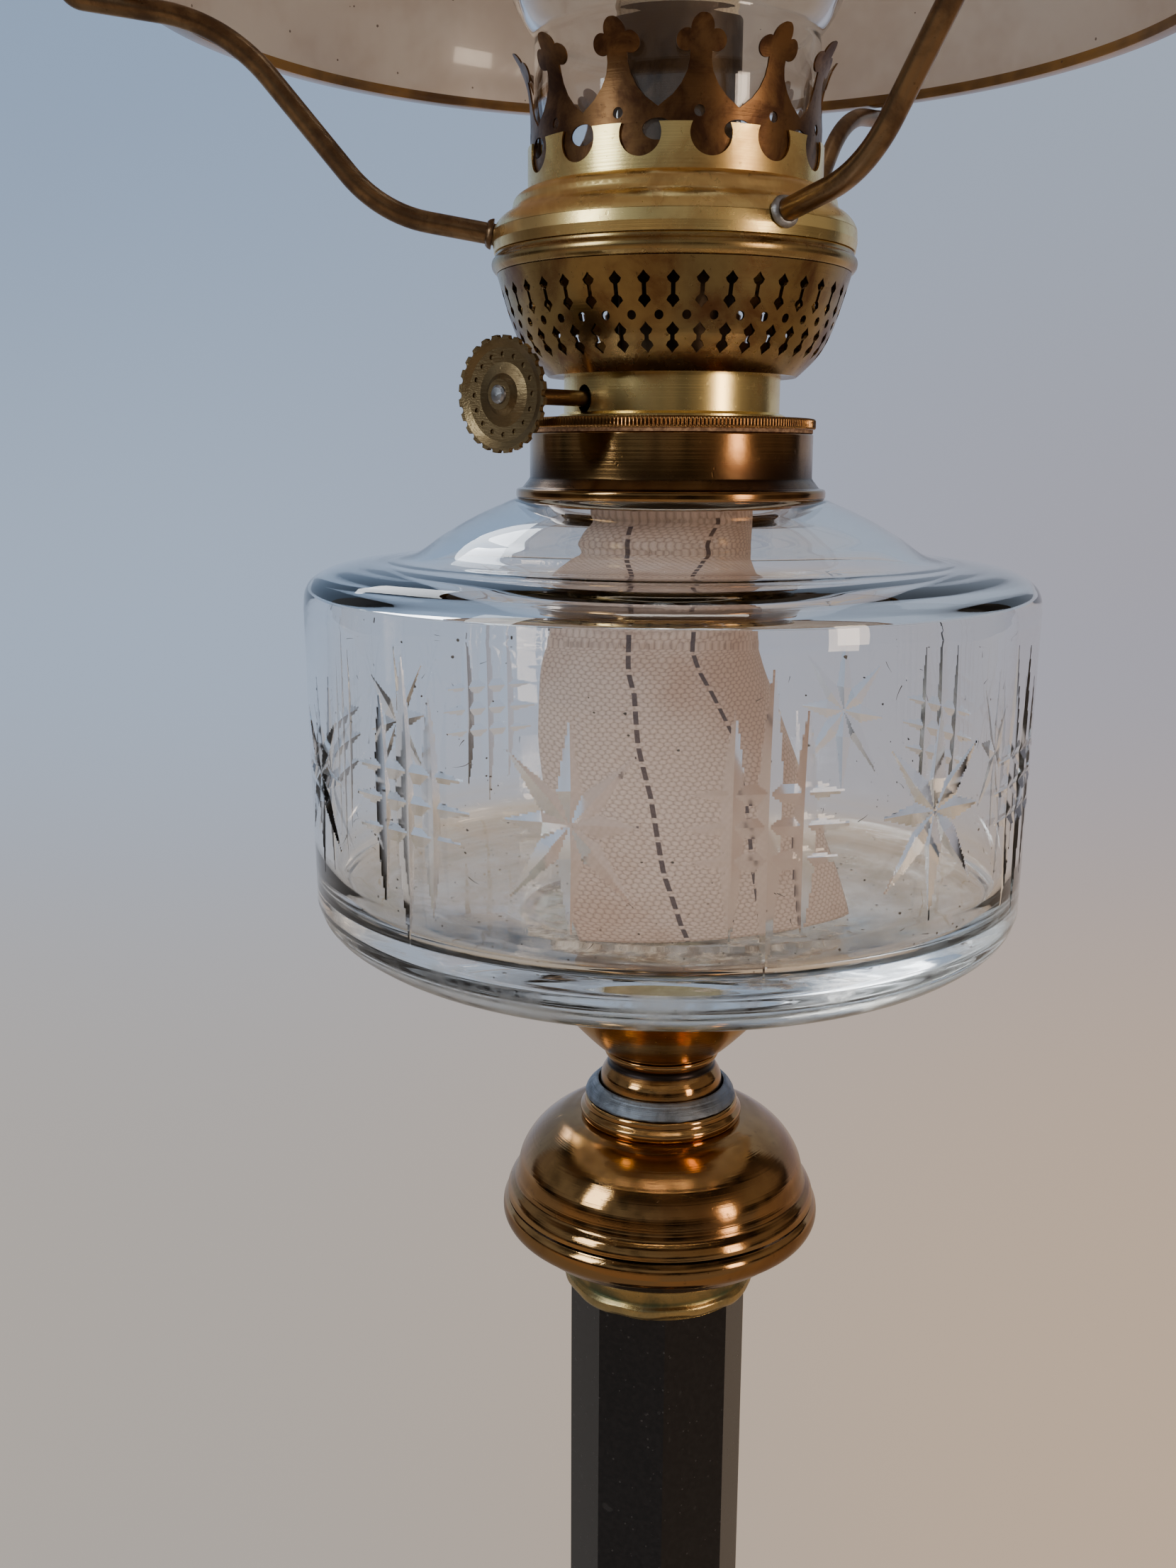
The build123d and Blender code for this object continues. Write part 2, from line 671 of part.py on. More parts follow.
# Bracket under the air tube, which carries the spindle's inner end
cheek_foot_z = spindle_z - spindle_radius - cheek_thickness
with BuildPart() as bracket:
    tube(air_tube_radius, bracket_bore, air_tube_z - brass_sheet, air_tube_z)
    cheek_half = cheek_spacing / 2
    for side in (-cheek_half - cheek_thickness, cheek_half):
        cheek_plane = Plane(
            origin=spindle_side.origin + spindle_out * side, x_dir=spindle_side.z_dir * -1,
            z_dir=spindle_out)
        with BuildSketch(cheek_plane):
            with Locations((0, (cheek_foot_z + air_tube_z - brass_sheet) / 2)):
                Rectangle(cheek_width, air_tube_z - brass_sheet - cheek_foot_z)
        extrude(amount=cheek_thickness)
    hole_plane = Plane(
        origin=spindle_origin - spindle_out * drum_radius, x_dir=spindle_side.z_dir * -1,
        z_dir=spindle_out)
    with BuildSketch(hole_plane):
        Circle(spindle_radius + running_gap)
    extrude(amount=2 * drum_radius, mode=Mode.SUBTRACT)
    with BuildSketch(Plane.XY.offset(cheek_foot_z)):
        Circle(wick_bore + overrun)
        Circle(air_tube_radius, mode=Mode.SUBTRACT)
    extrude(amount=air_tube_z - cheek_foot_z, mode=Mode.SUBTRACT)
keep("spindle_bracket", bracket.part)

# Spindle: shaft, wick wheels, knob and rivet
drum_crossing = sqrt(drum_radius**2 - spindle_offset**2)
knob_distance = drum_crossing + spindle_reach
shaft_plane = Plane(
    origin=spindle_origin - spindle_out * spindle_tail, x_dir=spindle_side.z_dir * -1,
    z_dir=spindle_out)
with BuildPart() as shaft:
    with BuildSketch(shaft_plane):
        Circle(spindle_radius)
    extrude(amount=spindle_tail + knob_distance - hub_length)
keep("spindle_shaft", shaft.part)

with BuildPart() as wheels:
    for side in (-wheel_spacing / 2 - wheel_width / 2, wheel_spacing / 2 - wheel_width / 2):
        wheel_plane = Plane(
            origin=spindle_origin + spindle_out * side, x_dir=spindle_side.z_dir * -1,
            z_dir=spindle_out)
        with BuildSketch(wheel_plane):
            with BuildLine():
                tips = []
                for tooth in range(2 * wheel_teeth):
                    reach = wheel_radius * (1 if tooth % 2 == 0 else wheel_root_share)
                    angle = pi * tooth / wheel_teeth
                    tips.append((reach * cos(angle), reach * sin(angle)))
                Polyline(*tips, close=True)
            make_face()
            Circle(spindle_radius, mode=Mode.SUBTRACT)
        extrude(amount=wheel_width)
keep("wick_wheels", wheels.part)

knob_origin = spindle_origin + spindle_out * knob_distance
knob_section = Plane(origin=knob_origin, x_dir=spindle_side.z_dir * -1,
                     z_dir=(spindle_side.z_dir * -1).cross(spindle_out))
knob_axis = Axis(knob_origin, spindle_out)
knob_face = Plane(origin=knob_origin, x_dir=spindle_side.z_dir * -1, z_dir=spindle_out)
knob_shares = (
    (0.0, 0.0), (0.26, 0.0), (0.36, -0.7), (0.55, -1.0), (0.8, -0.85), (0.93, -0.35), (1.0, -0.3))
with BuildPart() as knob:
    front = [(knob_radius * across, knob_dish * up) for across, up in knob_shares]
    back = [(x, y - knob_sheet) for x, y in front[::-1]]
    turn(front + back, plane=knob_section, axis=knob_axis)
    turn([(0, -knob_sheet), (hub_radius, -knob_sheet), (hub_radius, -hub_length), (0, -hub_length)],
         plane=knob_section, axis=knob_axis)
    with BuildSketch(knob_face.offset(-hub_length)):
        with PolarLocations(knob_radius, knob_scallops):
            Circle(scallop_radius)
    extrude(amount=hub_length + overrun, mode=Mode.SUBTRACT)
    with BuildSketch(knob_face):
        with PolarLocations(knob_radius * dimple_circle_share, dimple_count):
            Circle(dimple_radius)
    extrude(amount=-(knob_dish + dimple_depth), mode=Mode.SUBTRACT)
keep("winder_knob", knob.part)

rivet_shares = ((0.0, 0.0), (1.0, 0.0), (0.95, 0.45), (0.7, 0.85), (0.0, 1.0))
with BuildPart() as rivet:
    turn([(rivet_radius * across, rivet_height * up) for across, up in rivet_shares],
         plane=knob_section, axis=knob_axis)
keep("winder_rivet", rivet.part)

# Wick: stiff ring between the tubes, open by a slit on the duct's side
wick_foot_z = collar_top_z - wick_foot
wick_top_z = wick_tube_top_z + wick_rise
slit_top_z = duct_z + duct_height + wick_drop + slit_margin
with BuildPart() as wick:
    tube(wick_outer_radius, wick_bore, wick_foot_z, wick_top_z)
    with BuildSketch(facing(slit_azimuth)):
        with BuildLine():
            half = slit_width / 2
            seam = slit_seam / 2
            seam_z = (slit_top_z + wick_top_z) / 2
            Polyline((-half, wick_foot_z - overrun), (half, wick_foot_z - overrun),
                     (half, slit_top_z), (seam, seam_z), (seam, wick_top_z + overrun),
                     (-seam, wick_top_z + overrun), (-seam, seam_z), (-half, slit_top_z), close=True)
        make_face()
    extrude(amount=wick_outer_radius + overrun, mode=Mode.SUBTRACT)
keep("wick", wick.part)

# Wick in the fount: the band opens from a ring into a wide curved sheet that stands on the glass
band_width = 57.0
tail_top_z = wick_foot_z - body_gap
tail_foot_z = floor_z + body_gap
tail_length = tail_top_z - tail_foot_z
ring_radius = wick_outer_radius - wick_thickness / 2
# share of the length down, of the ring's radius, azimuth of the middle, drift right and forward
tail_shares = (
    (0.0, 1.0, 113.0, 0.0, 0.0), (0.04, 1.12, 96.0, 0.0, 0.0), (0.08, 1.32, 80.0, 0.0, 0.0),
    (0.12, 1.5, 64.0, 0.0, 0.0), (0.17, 1.6, 50.0, -0.015, 0.0), (0.24, 1.7, 40.0, -0.03, 0.01),
    (0.34, 1.9, 30.0, -0.045, 0.03), (0.46, 2.15, 22.0, -0.057, 0.055),
    (0.6, 2.6, 20.0, -0.055, 0.06), (0.76, 3.2, 22.0, -0.05, 0.056),
    (0.9, 4.2, 25.0, -0.08, -0.03), (1.0, 5.0, 26.6, -0.108, -0.11))
tail_arcs = 3


def tail_section(radius, azimuth, centre_x, centre_y):
    """Cross-section of the band: a curved strip, open at the back."""
    spread = band_width / radius
    outer = radius + wick_thickness / 2
    inner = radius - wick_thickness / 2

    def at(reach, share):
        out = toward(azimuth + degrees(spread) * (share - 0.5))
        return (centre_x + out.X * reach, centre_y + out.Y * reach)

    with BuildLine() as edge:
        for arc in range(tail_arcs):
            start, end = arc / tail_arcs, (arc + 1) / tail_arcs
            ThreePointArc(at(outer, start), at(outer, (start + end) / 2), at(outer, end))
            ThreePointArc(at(inner, start), at(inner, (start + end) / 2), at(inner, end))
        Line(at(outer, 0), at(inner, 0))
        Line(at(outer, 1), at(inner, 1))
    return make_face(edge.line, mode=Mode.PRIVATE)


with BuildPart() as tail:
    for down, radius_share, azimuth, right, front in tail_shares:
        with BuildSketch(Plane.XY.offset(tail_top_z - tail_length * down)):
            add(tail_section(ring_radius * radius_share, azimuth,
                             tail_length * right, -tail_length * front))
    loft(ruled=True)
keep("wick_tail", tail.part)

# Gallery dome with its scalloped wall, bored for the arms
skirt_shares = ((0.985, 0.0), (0.993, 0.16), (0.99, 0.34))
gallery_dome_shares = (
    (0.99, 0.34), (0.97, 0.47), (0.935, 0.58), (0.898, 0.66), (0.882, 0.76), (0.877, 0.84),
    (0.85, 0.93), (0.808, 0.99))
arm_shelf_in = shade_radius - arm_shelf_inside
arm_knees = (arm_root + (arm_shelf_in - arm_root) * arm_knee_share, arm_shelf_in,
             shade_radius + arm_shelf_outside)
arm_root_z = gallery_foot_z + arm_level
arm_rise = arm_lifts[0] / (arm_knees[0] - arm_root)


def arm_start(azimuth, reach):
    """Plane across an arm's first run, at a distance from the lamp's axis."""
    out = toward(azimuth)
    along = (out + Vector(0, 0, arm_rise)).normalized()
    origin = out * reach + Vector(0, 0, arm_root_z + arm_rise * (reach - arm_root))
    return Plane(origin=origin, x_dir=(-out.Y, out.X, 0), z_dir=along)


with BuildPart() as notch:
    with BuildSketch(Plane.XZ):
        with Locations((0, wall_top_z - scallop_drop)):
            Circle(scallop_radius_wall)
    extrude(amount=gallery_wall_radius + overrun)
with BuildPart() as gallery:
    spin([
        (False, scaled(skirt_shares, gallery_radius, gallery_dome_height, gallery_foot_z)),
        (True, scaled(gallery_dome_shares, gallery_radius, gallery_dome_height, gallery_foot_z)),
    ], brass_sheet)
    tube(gallery_wall_radius, gallery_wall_bore, wall_foot_z - brass_sheet, wall_top_z)
    trim(gallery_radius, gallery_foot_z, wall_top_z)
    with PolarLocations(0, scallop_count, start_angle=scallop_azimuth):
        add(notch.part, mode=Mode.SUBTRACT)
    for azimuth in arm_azimuths:
        with BuildSketch(arm_start(azimuth, arm_root)):
            Circle(arm_radius + running_gap)
        extrude(amount=gallery_radius + overrun - arm_root, mode=Mode.SUBTRACT)
keep("gallery", gallery.part)

# Crown of springs: flanged band, and prongs that end in trefoils bent outwards
crown_foot_z = wall_foot_z - crown_drop
crown_middle = gallery_wall_bore - fit_gap - thin_sheet / 2
prong_foot_z = crown_foot_z + crown_band
prong_length = crown_height - crown_band
half_pitch = pi * crown_middle / prong_count
stem_shares = (
    (1.02, -0.02), (1.02, 0.04), (0.88, 0.09), (0.66, 0.17), (0.455, 0.29), (0.31, 0.43), (0.265, 0.55),
    (0.265, 0.8))
lobe_shares = ((-0.37, 0.74), (0.37, 0.74), (0.0, 0.862))
flare_shares = ((0.0, 0.0), (0.0, 0.25), (0.12, 0.55), (0.45, 0.8), (1.0, 1.0))
with BuildPart() as prong_prism:
    with BuildSketch(facing(prong_azimuth)):
        stem = [(half_pitch * x, prong_foot_z + prong_length * y) for x, y in stem_shares]
        with BuildLine():
            Polyline(*(stem + [(-x, y) for x, y in stem[::-1]]), close=True)
        make_face()
        for (x, y), lobe_radius in zip(lobe_shares, lobe_radii):
            with Locations((half_pitch * x, prong_foot_z + prong_length * y)):
                Circle(lobe_radius)
    extrude(amount=crown_middle + crown_flare + overrun)
with BuildPart() as prong:
    spin([(True, [(crown_middle + crown_flare * out, prong_foot_z + prong_length * up)
                  for out, up in flare_shares])], thin_sheet)
    add(prong_prism.part, mode=Mode.INTERSECT)
with BuildPart() as crown_cutter:
    with BuildSketch(facing(prong_azimuth + 180 / prong_count)):
        with Locations((0, prong_foot_z - crown_hole_drop)):
            Ellipse(*crown_hole_half)
    extrude(amount=crown_middle + overrun)
    with BuildSketch(facing(prong_azimuth)):
        with Locations((0, prong_foot_z)):
            Circle(crown_eye_radius)
    extrude(amount=crown_middle + overrun)
with BuildPart() as crown:
    flange_bore = crown_middle - crown_flange
    tube(crown_middle + thin_sheet / 2, flange_bore, crown_foot_z, crown_foot_z + thin_sheet)
    tube(crown_middle + thin_sheet / 2, crown_middle - thin_sheet / 2, crown_foot_z, prong_foot_z)
    with PolarLocations(0, prong_count):
        add(prong.part)
    with PolarLocations(0, prong_count):
        add(crown_cutter.part, mode=Mode.SUBTRACT)
keep("spring_crown", crown.part)

# Shade arms, each bent from one rod, and the solder where they leave the gallery
for name, azimuth in zip(arm_names, arm_azimuths):
    with BuildPart() as arm:
        with BuildLine(slice_at(azimuth)) as path:
            knees = [(reach, arm_root_z + lift) for reach, lift in zip(arm_knees, arm_lifts)]
            tip = (arm_knees[2], arm_root_z + arm_lifts[2] + arm_hook)
            FilletPolyline((arm_root, arm_root_z), *knees, tip, radius=arm_bends)
        with BuildSketch(arm_start(azimuth, arm_root)):
            Circle(arm_radius)
        sweep(path=path.line)
    keep(name, arm.part)

with BuildPart() as arm_solder:
    for azimuth in arm_azimuths:
        with BuildSketch(arm_start(azimuth, gallery_radius + fit_gap)):
            Circle(solder_radius)
            Circle(arm_radius + running_gap, mode=Mode.SUBTRACT)
        extrude(amount=solder_length)
keep("arm_solder", arm_solder.part)

# Chimney: cylinder in the crown, bulge round the flame, long narrow top
chimney_foot_z = crown_foot_z + thin_sheet
half_glass = chimney_wall / 2
bulge_shares = (
    (0.0, 0.105), (0.0, 0.115), (0.3, 0.129), (0.55, 0.145), (0.8, 0.172), (1.0, 0.21))
neck_blend_shares = ((1.0, 0.21), (0.93, 0.25), (0.68, 0.3), (0.35, 0.345), (0.1, 0.385), (0.0, 0.43))
with BuildPart() as chimney:
    foot_r = chimney_radius - half_glass
    bulge_r = chimney_bulge_radius - half_glass
    narrow_r = chimney_neck_radius - half_glass
    swell = [(foot_r + (bulge_r - foot_r) * out, chimney_foot_z + chimney_height * up)
             for out, up in bulge_shares]
    draw_in = [(narrow_r + (bulge_r - narrow_r) * out, chimney_foot_z + chimney_height * up)
               for out, up in neck_blend_shares]
    spin([
        (False, [(foot_r, chimney_foot_z), swell[0]]),
        (True, swell + draw_in[1:]),
        (False, [draw_in[-1], (chimney_top_radius - half_glass, chimney_foot_z + chimney_height)]),
    ], chimney_wall)
    trim(chimney_bulge_radius, chimney_foot_z, chimney_foot_z + chimney_height)
keep("chimney", chimney.part)

# Shade, standing on the arms inside their hooks
arm_slope = (arm_lifts[2] - arm_lifts[1]) / (arm_knees[2] - arm_knees[1])
shade_foot_z = (arm_root_z + arm_lifts[1] + arm_slope * (shade_radius - arm_knees[1])
                + arm_radius / cos(atan(arm_slope)) + body_gap)
shade_shares = (
    (1.0, 0.0), (1.0, 0.03), (0.985, 0.14), (0.935, 0.31), (0.84, 0.5), (0.71, 0.68), (0.57, 0.82),
    (0.46, 0.905), (0.41, 0.955), (0.4, 1.0))
with BuildPart() as shade:
    spin([(True, scaled(shade_shares, shade_radius - shade_wall / 2, shade_height, shade_foot_z))],
         shade_wall)
    trim(shade_radius, shade_foot_z, shade_foot_z + shade_height)
keep("shade", shade.part)
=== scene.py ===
# %% [markdown]
# # A kerosene table lamp, dressed in Blender
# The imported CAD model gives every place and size. This file gives the looks: smooth turned
# brass, heavy cut glass, a woven wick, an opal shade and the light that shows them.
# All lengths of the object are written in millimetres and turned into metres once.

# %% Load the frame and keep its box
from math import cos, pi, radians, sin, sqrt

import bpy
import numpy as np
from mathutils import Matrix, Vector


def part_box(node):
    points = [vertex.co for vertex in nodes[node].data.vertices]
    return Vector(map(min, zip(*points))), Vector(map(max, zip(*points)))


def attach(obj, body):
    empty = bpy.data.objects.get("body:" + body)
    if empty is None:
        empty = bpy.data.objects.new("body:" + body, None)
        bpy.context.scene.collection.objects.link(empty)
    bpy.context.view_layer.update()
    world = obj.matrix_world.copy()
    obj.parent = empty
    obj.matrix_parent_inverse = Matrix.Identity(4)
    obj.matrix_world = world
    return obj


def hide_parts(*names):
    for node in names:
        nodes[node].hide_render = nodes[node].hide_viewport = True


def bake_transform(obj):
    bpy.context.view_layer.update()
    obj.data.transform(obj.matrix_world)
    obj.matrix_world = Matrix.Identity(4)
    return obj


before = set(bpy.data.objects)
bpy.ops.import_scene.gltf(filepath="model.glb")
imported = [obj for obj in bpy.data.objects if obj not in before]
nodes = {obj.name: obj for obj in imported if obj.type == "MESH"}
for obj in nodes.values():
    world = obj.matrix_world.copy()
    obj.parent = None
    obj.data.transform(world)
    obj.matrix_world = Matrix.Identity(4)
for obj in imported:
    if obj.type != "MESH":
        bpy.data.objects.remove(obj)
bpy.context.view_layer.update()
MM = 0.001

# %% [markdown]
# ## Levels
# The lamp is a stack of turned pieces, so most of what follows is a question of height. The
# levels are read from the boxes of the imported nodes, so that each piece sits on its neighbour.

# %% Levels of the stack, in millimetres
def span(node):
    """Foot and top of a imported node, in millimetres."""
    low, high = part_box(node)
    return low.z / MM, high.z / MM


knop_foot, knop_seam = span("knop_lower_shell")
knop_top = span("knop_upper_shell")[1]
cup_foot, fount_foot = span("fount_cup")
collar_foot, collar_top = span("fount_collar")
base_foot = span("burner_base")[1] - 2.0
rim_foot, rim_top = span("basket_rim")
gallery_foot = span("gallery")[0]
chimney_foot, chimney_top = span("chimney")
shade_foot, shade_top = span("shade")
wick_foot, wick_top = span("wick")
tail_foot, tail_top = span("wick_tail")
print("collar", round(collar_foot, 1), "gallery", round(gallery_foot, 1), "shade", round(shade_foot, 1))

# %% [markdown]
# ## Camera
# The photograph was taken from about arm's length, level with the burner and tipped down by
# twelve degrees. A camera so close makes the nearer half of each ring look larger, so its
# distance matters as much as its angle. It is built from three directions, not by eye.

# %% Camera at the photograph's place
def aim(pitch, yaw, roll):
    """Right, up and back directions of a camera that is tipped, turned and rolled."""
    forward = Vector((sin(yaw) * cos(pitch), cos(yaw) * cos(pitch), -sin(pitch)))
    right = Vector((cos(yaw), -sin(yaw), 0))
    up = right.cross(forward)
    rolled_right = right * cos(roll) + up * sin(roll)
    rolled_up = up * cos(roll) - right * sin(roll)
    return rolled_right, rolled_up, -forward


camera_data = bpy.data.cameras.new("camera")
camera_data.sensor_width = 36
camera_data.lens = 34.73
camera_data.clip_start = 0.01
camera = bpy.data.objects.new("camera", camera_data)
bpy.context.scene.collection.objects.link(camera)
columns = aim(radians(12.14), radians(-3.0), radians(0.26))
camera.matrix_world = Matrix.Translation((0, -0.292, 0.420)) @ Matrix(columns).transposed().to_4x4()
bpy.context.scene.camera = camera
print("camera looks along", tuple(round(v, 3) for v in -columns[2]))

# %% [markdown]
# ## Node helpers
# Materials are networks of nodes. Two small helpers keep the code close to the way that one
# reads such a network: make a node, say what goes into each of its sockets, and move on.

# %% Helpers for shader nodes
def tint(red, green, blue):
    """A screen colour, counted 0 to 255, as Blender's linear colour."""
    def straight(value):
        share = value / 255
        return share / 12.92 if share <= 0.04045 else ((share + 0.055) / 1.055) ** 2.4
    return (straight(red), straight(green), straight(blue), 1.0)


def place(tree, kind, sockets=(), **settings):
    """Add a node; sockets maps an input's name or number to a value or to another output."""
    made = tree.nodes.new("ShaderNode" + kind)
    for name, value in settings.items():
        setattr(made, name, value)
    for name, value in dict(sockets).items():
        if isinstance(value, bpy.types.NodeSocket):
            tree.links.new(value, made.inputs[name])
        else:
            made.inputs[name].default_value = value
    return made


def group(name, inputs, outputs):
    """An empty shader node group with named inputs and outputs."""
    made = bpy.data.node_groups.new(name, "ShaderNodeTree")
    for label, kind, start in inputs:
        socket = made.interface.new_socket(name=label, in_out="INPUT", socket_type="NodeSocket" + kind)
        socket.default_value = start
    for label, kind in outputs:
        made.interface.new_socket(name=label, in_out="OUTPUT", socket_type="NodeSocket" + kind)
    return made, made.nodes.new("NodeGroupInput").outputs, made.nodes.new("NodeGroupOutput").inputs


def math(tree, operation, first, second=0.0, third=0.0, clamp=False):
    """Output of a Math node."""
    sockets = {0: first, 1: second, 2: third}
    return place(tree, "Math", sockets, operation=operation, use_clamp=clamp).outputs[0]


def blend(tree, share, first, second, how="MIX"):
    """Output of a Mix node for colours."""
    mixer = place(tree, "Mix", data_type="RGBA", blend_type=how)
    for index, value in ((0, share), (6, first), (7, second)):
        if isinstance(value, bpy.types.NodeSocket):
            tree.links.new(value, mixer.inputs[index])
        else:
            mixer.inputs[index].default_value = value
    return mixer.outputs[2]


def ramp(tree, value, low, high, to_low=0.0, to_high=1.0):
    """A value mapped from one range to another, smoothly and held at the ends."""
    return place(tree, "MapRange", {"Value": value, "From Min": low, "From Max": high, "To Min": to_low,
                                    "To Max": to_high}, interpolation_type="SMOOTHSTEP").outputs[0]


def local(tree):
    """Place on the object, in metres."""
    return place(tree, "TexCoord").outputs["Object"]


def axes(tree, vector):
    """The three numbers of a vector."""
    return place(tree, "SeparateXYZ", {0: vector}).outputs


def cloud(tree, vector, scale, detail, rough=0.5):
    """Soft noise over a vector."""
    return place(tree, "TexNoise", {"Vector": vector, "Scale": scale, "Detail": detail,
                                    "Roughness": rough}).outputs[0]


def begin(name):
    """A new material with its tree and its shader."""
    made = bpy.data.materials.new(name)
    made.use_nodes = True
    return made, made.node_tree, made.node_tree.nodes["Principled BSDF"]


def fed(shader):
    """What is linked into a shader's base colour."""
    return shader.inputs["Base Color"].links[0].from_socket


print("tint of mid grey:", tuple(round(v, 3) for v in tint(128, 128, 128)))

# %% [markdown]
# ## Floor, backdrop and light
# The lamp stands before a plain pale wall, bluish where daylight reaches it and beige where a
# warm bulb does. The floor runs up into the wall in one sweep, so no edge shows. Its colour
# follows the place on the sweep; a part of it glows by itself, so that the lamps can stay soft,
# and the rest is lit, so that the object's shadow still falls there.

# %% Floor that sweeps up into a wall
def sweep_backdrop():
    profile = [(-2.6, 0.0), (1.2, 0.0)]
    for step in range(1, 13):
        angle = pi / 2 * step / 12
        profile.append((1.2 + 0.9 * sin(angle), 0.9 - 0.9 * cos(angle)))
    profile.append((2.1, 3.2))
    points = [(x, y, z) for y, z in profile for x in (-3.0, 3.0)]
    faces = [(2 * i, 2 * i + 1, 2 * i + 3, 2 * i + 2) for i in range(len(profile) - 1)]
    mesh = bpy.data.meshes.new("backdrop")
    mesh.from_pydata(points, [], faces)
    mesh.shade_smooth()
    made = bpy.data.objects.new("backdrop", mesh)
    bpy.context.scene.collection.objects.link(made)
    return made


GLOW = 0.72


def backdrop_material():
    made = bpy.data.materials.new("backdrop")
    made.use_nodes = True
    tree = made.node_tree
    tree.nodes.clear()
    where = axes(tree, local(tree))
    reach = math(tree, "MULTIPLY_ADD", where[1], 0.36, 0.13)
    across = ramp(tree, math(tree, "DIVIDE", where[0], reach), -1.0, 1.0)
    depth = math(tree, "MULTIPLY", math(tree, "SUBTRACT", where[1], 0.2), 0.26)
    up = math(tree, "ADD", depth, math(tree, "MULTIPLY", where[2], 0.42), clamp=True)
    foot = blend(tree, across, tint(193, 183, 173), tint(215, 188, 161))
    middle = blend(tree, across, tint(181, 197, 221), tint(183, 180, 190))
    head = blend(tree, across, tint(158, 183, 215), tint(176, 190, 209))
    paint = blend(tree, ramp(tree, up, 0.0, 0.5), foot, middle)
    paint = blend(tree, ramp(tree, up, 0.5, 1.0), paint, head)
    lit = place(tree, "BsdfDiffuse", {"Color": paint}).outputs[0]
    rays = place(tree, "LightPath").outputs
    mirror = math(tree, "SUBTRACT", rays["Is Glossy Ray"], rays["Is Transmission Ray"], clamp=True)
    near = math(tree, "MULTIPLY", mirror, ramp(tree, where[1], 1.1, 0.3))
    strength = math(tree, "MULTIPLY_ADD", near, -0.68, 1.0)
    glow = place(tree, "Emission", {"Color": paint, "Strength": strength}).outputs[0]
    seen = math(tree, "ADD", rays["Is Camera Ray"], rays["Is Glossy Ray"])
    seen = math(tree, "ADD", seen, rays["Is Transmission Ray"], clamp=True)
    share = math(tree, "MULTIPLY", seen, GLOW)
    both = place(tree, "MixShader", {0: share, 1: lit, 2: glow}).outputs[0]
    place(tree, "OutputMaterial", {"Surface": both})
    return made


backdrop = sweep_backdrop()
backdrop.data.materials.append(backdrop_material())
print("backdrop faces:", len(backdrop.data.polygons))

# %% [markdown]
# Polished brass is only as good as what it mirrors. A real room has bright windows and dark
# corners. The world gives diffuse surfaces an even light. Mirror-like ones see a dark floor, a
# band of lit wall above eye level and a dim ceiling; the soft lamps are the windows. A ray that
# has gone through glass counts as glossy too, so it is taken out of the mirror rays: glass has to
# show the pale room behind it. The choice is made by the kind of ray, never by where the camera
# stands.

# %% World: even light, and a dim room for reflections
world = bpy.data.worlds.new("room")
bpy.context.scene.world = world
world.use_nodes = True
room = world.node_tree
room.nodes.clear()
outward = place(room, "TexCoord").outputs["Generated"]
direction = axes(room, outward)
height = ramp(room, direction[2], -0.5, 0.9)
even = blend(room, height, tint(168, 158, 150), tint(196, 204, 214))
tall = place(room, "Mapping", {"Vector": outward, "Scale": (1, 1, 0.35)}).outputs[0]
patches = cloud(room, tall, 3.4, 3.0, 0.55)
dim = blend(room, ramp(room, patches, 0.46, 0.60), (0.007, 0.005, 0.004, 1), (0.085, 0.062, 0.045, 1))
walls = math(room, "MULTIPLY", ramp(room, direction[2], 0.05, 0.18), ramp(room, direction[2], 0.66, 0.40))
walls = math(room, "MULTIPLY", walls, ramp(room, patches, 0.38, 0.52, 0.35, 1.0))
daylight = blend(room, ramp(room, direction[0], -0.5, 0.6), (0.25, 0.265, 0.285, 1), (0.24, 0.20, 0.16, 1))
dim = blend(room, walls, dim, daylight)
dim = blend(room, ramp(room, direction[2], 0.72, 0.95), dim, (0.18, 0.17, 0.155, 1))
rays = place(room, "LightPath").outputs
mirror_ray = math(room, "SUBTRACT", rays["Is Glossy Ray"], rays["Is Transmission Ray"], clamp=True)
shown = blend(room, mirror_ray, even, dim)
sky = place(room, "Background", {"Color": shown, "Strength": 1.0}).outputs[0]
place(room, "OutputWorld", {"Surface": sky})
print("world nodes:", len(room.nodes))


# %% Soft lamps: daylight from the left, a warm bulb from the right
def soft_lamp(name, at, toward, size, power, colour):
    data = bpy.data.lights.new(name, "AREA")
    data.shape = "RECTANGLE"
    data.size, data.size_y = size
    data.energy = power
    data.color = colour[:3]
    made = bpy.data.objects.new(name, data)
    bpy.context.scene.collection.objects.link(made)
    made.location = at
    made.rotation_euler = (Vector(toward) - Vector(at)).to_track_quat("-Z", "Y").to_euler()
    return made


soft_lamp("window_left", (-1.5, -1.1, 1.25), (0, 0, 0.42), (0.55, 1.0), 17.0, (0.86, 0.94, 1.0))
soft_lamp("window_back", (-0.9, 1.3, 1.7), (0, 0, 0.42), (0.6, 0.8), 9.0, (0.90, 0.95, 1.0))
soft_lamp("warm_right", (1.35, -1.0, 0.55), (0, 0, 0.42), (0.30, 0.7), 8.0, (1.0, 0.80, 0.62))
soft_lamp("ceiling", (0.1, -0.7, 2.1), (0, 0, 0.4), (0.9, 0.35), 9.0, (1.0, 0.97, 0.93))

# %% [markdown]
# ## Turning on the lathe
# Nearly every metal and glass piece of the lamp was turned, spun or blown round one axis. The
# Screw modifier could spin a profile, but a small function that lays rings of points gives more:
# it can also write how hollow or how proud the profile is at each ring. The materials read those
# two numbers, and put tarnish in the grooves and bright wear on the beads.

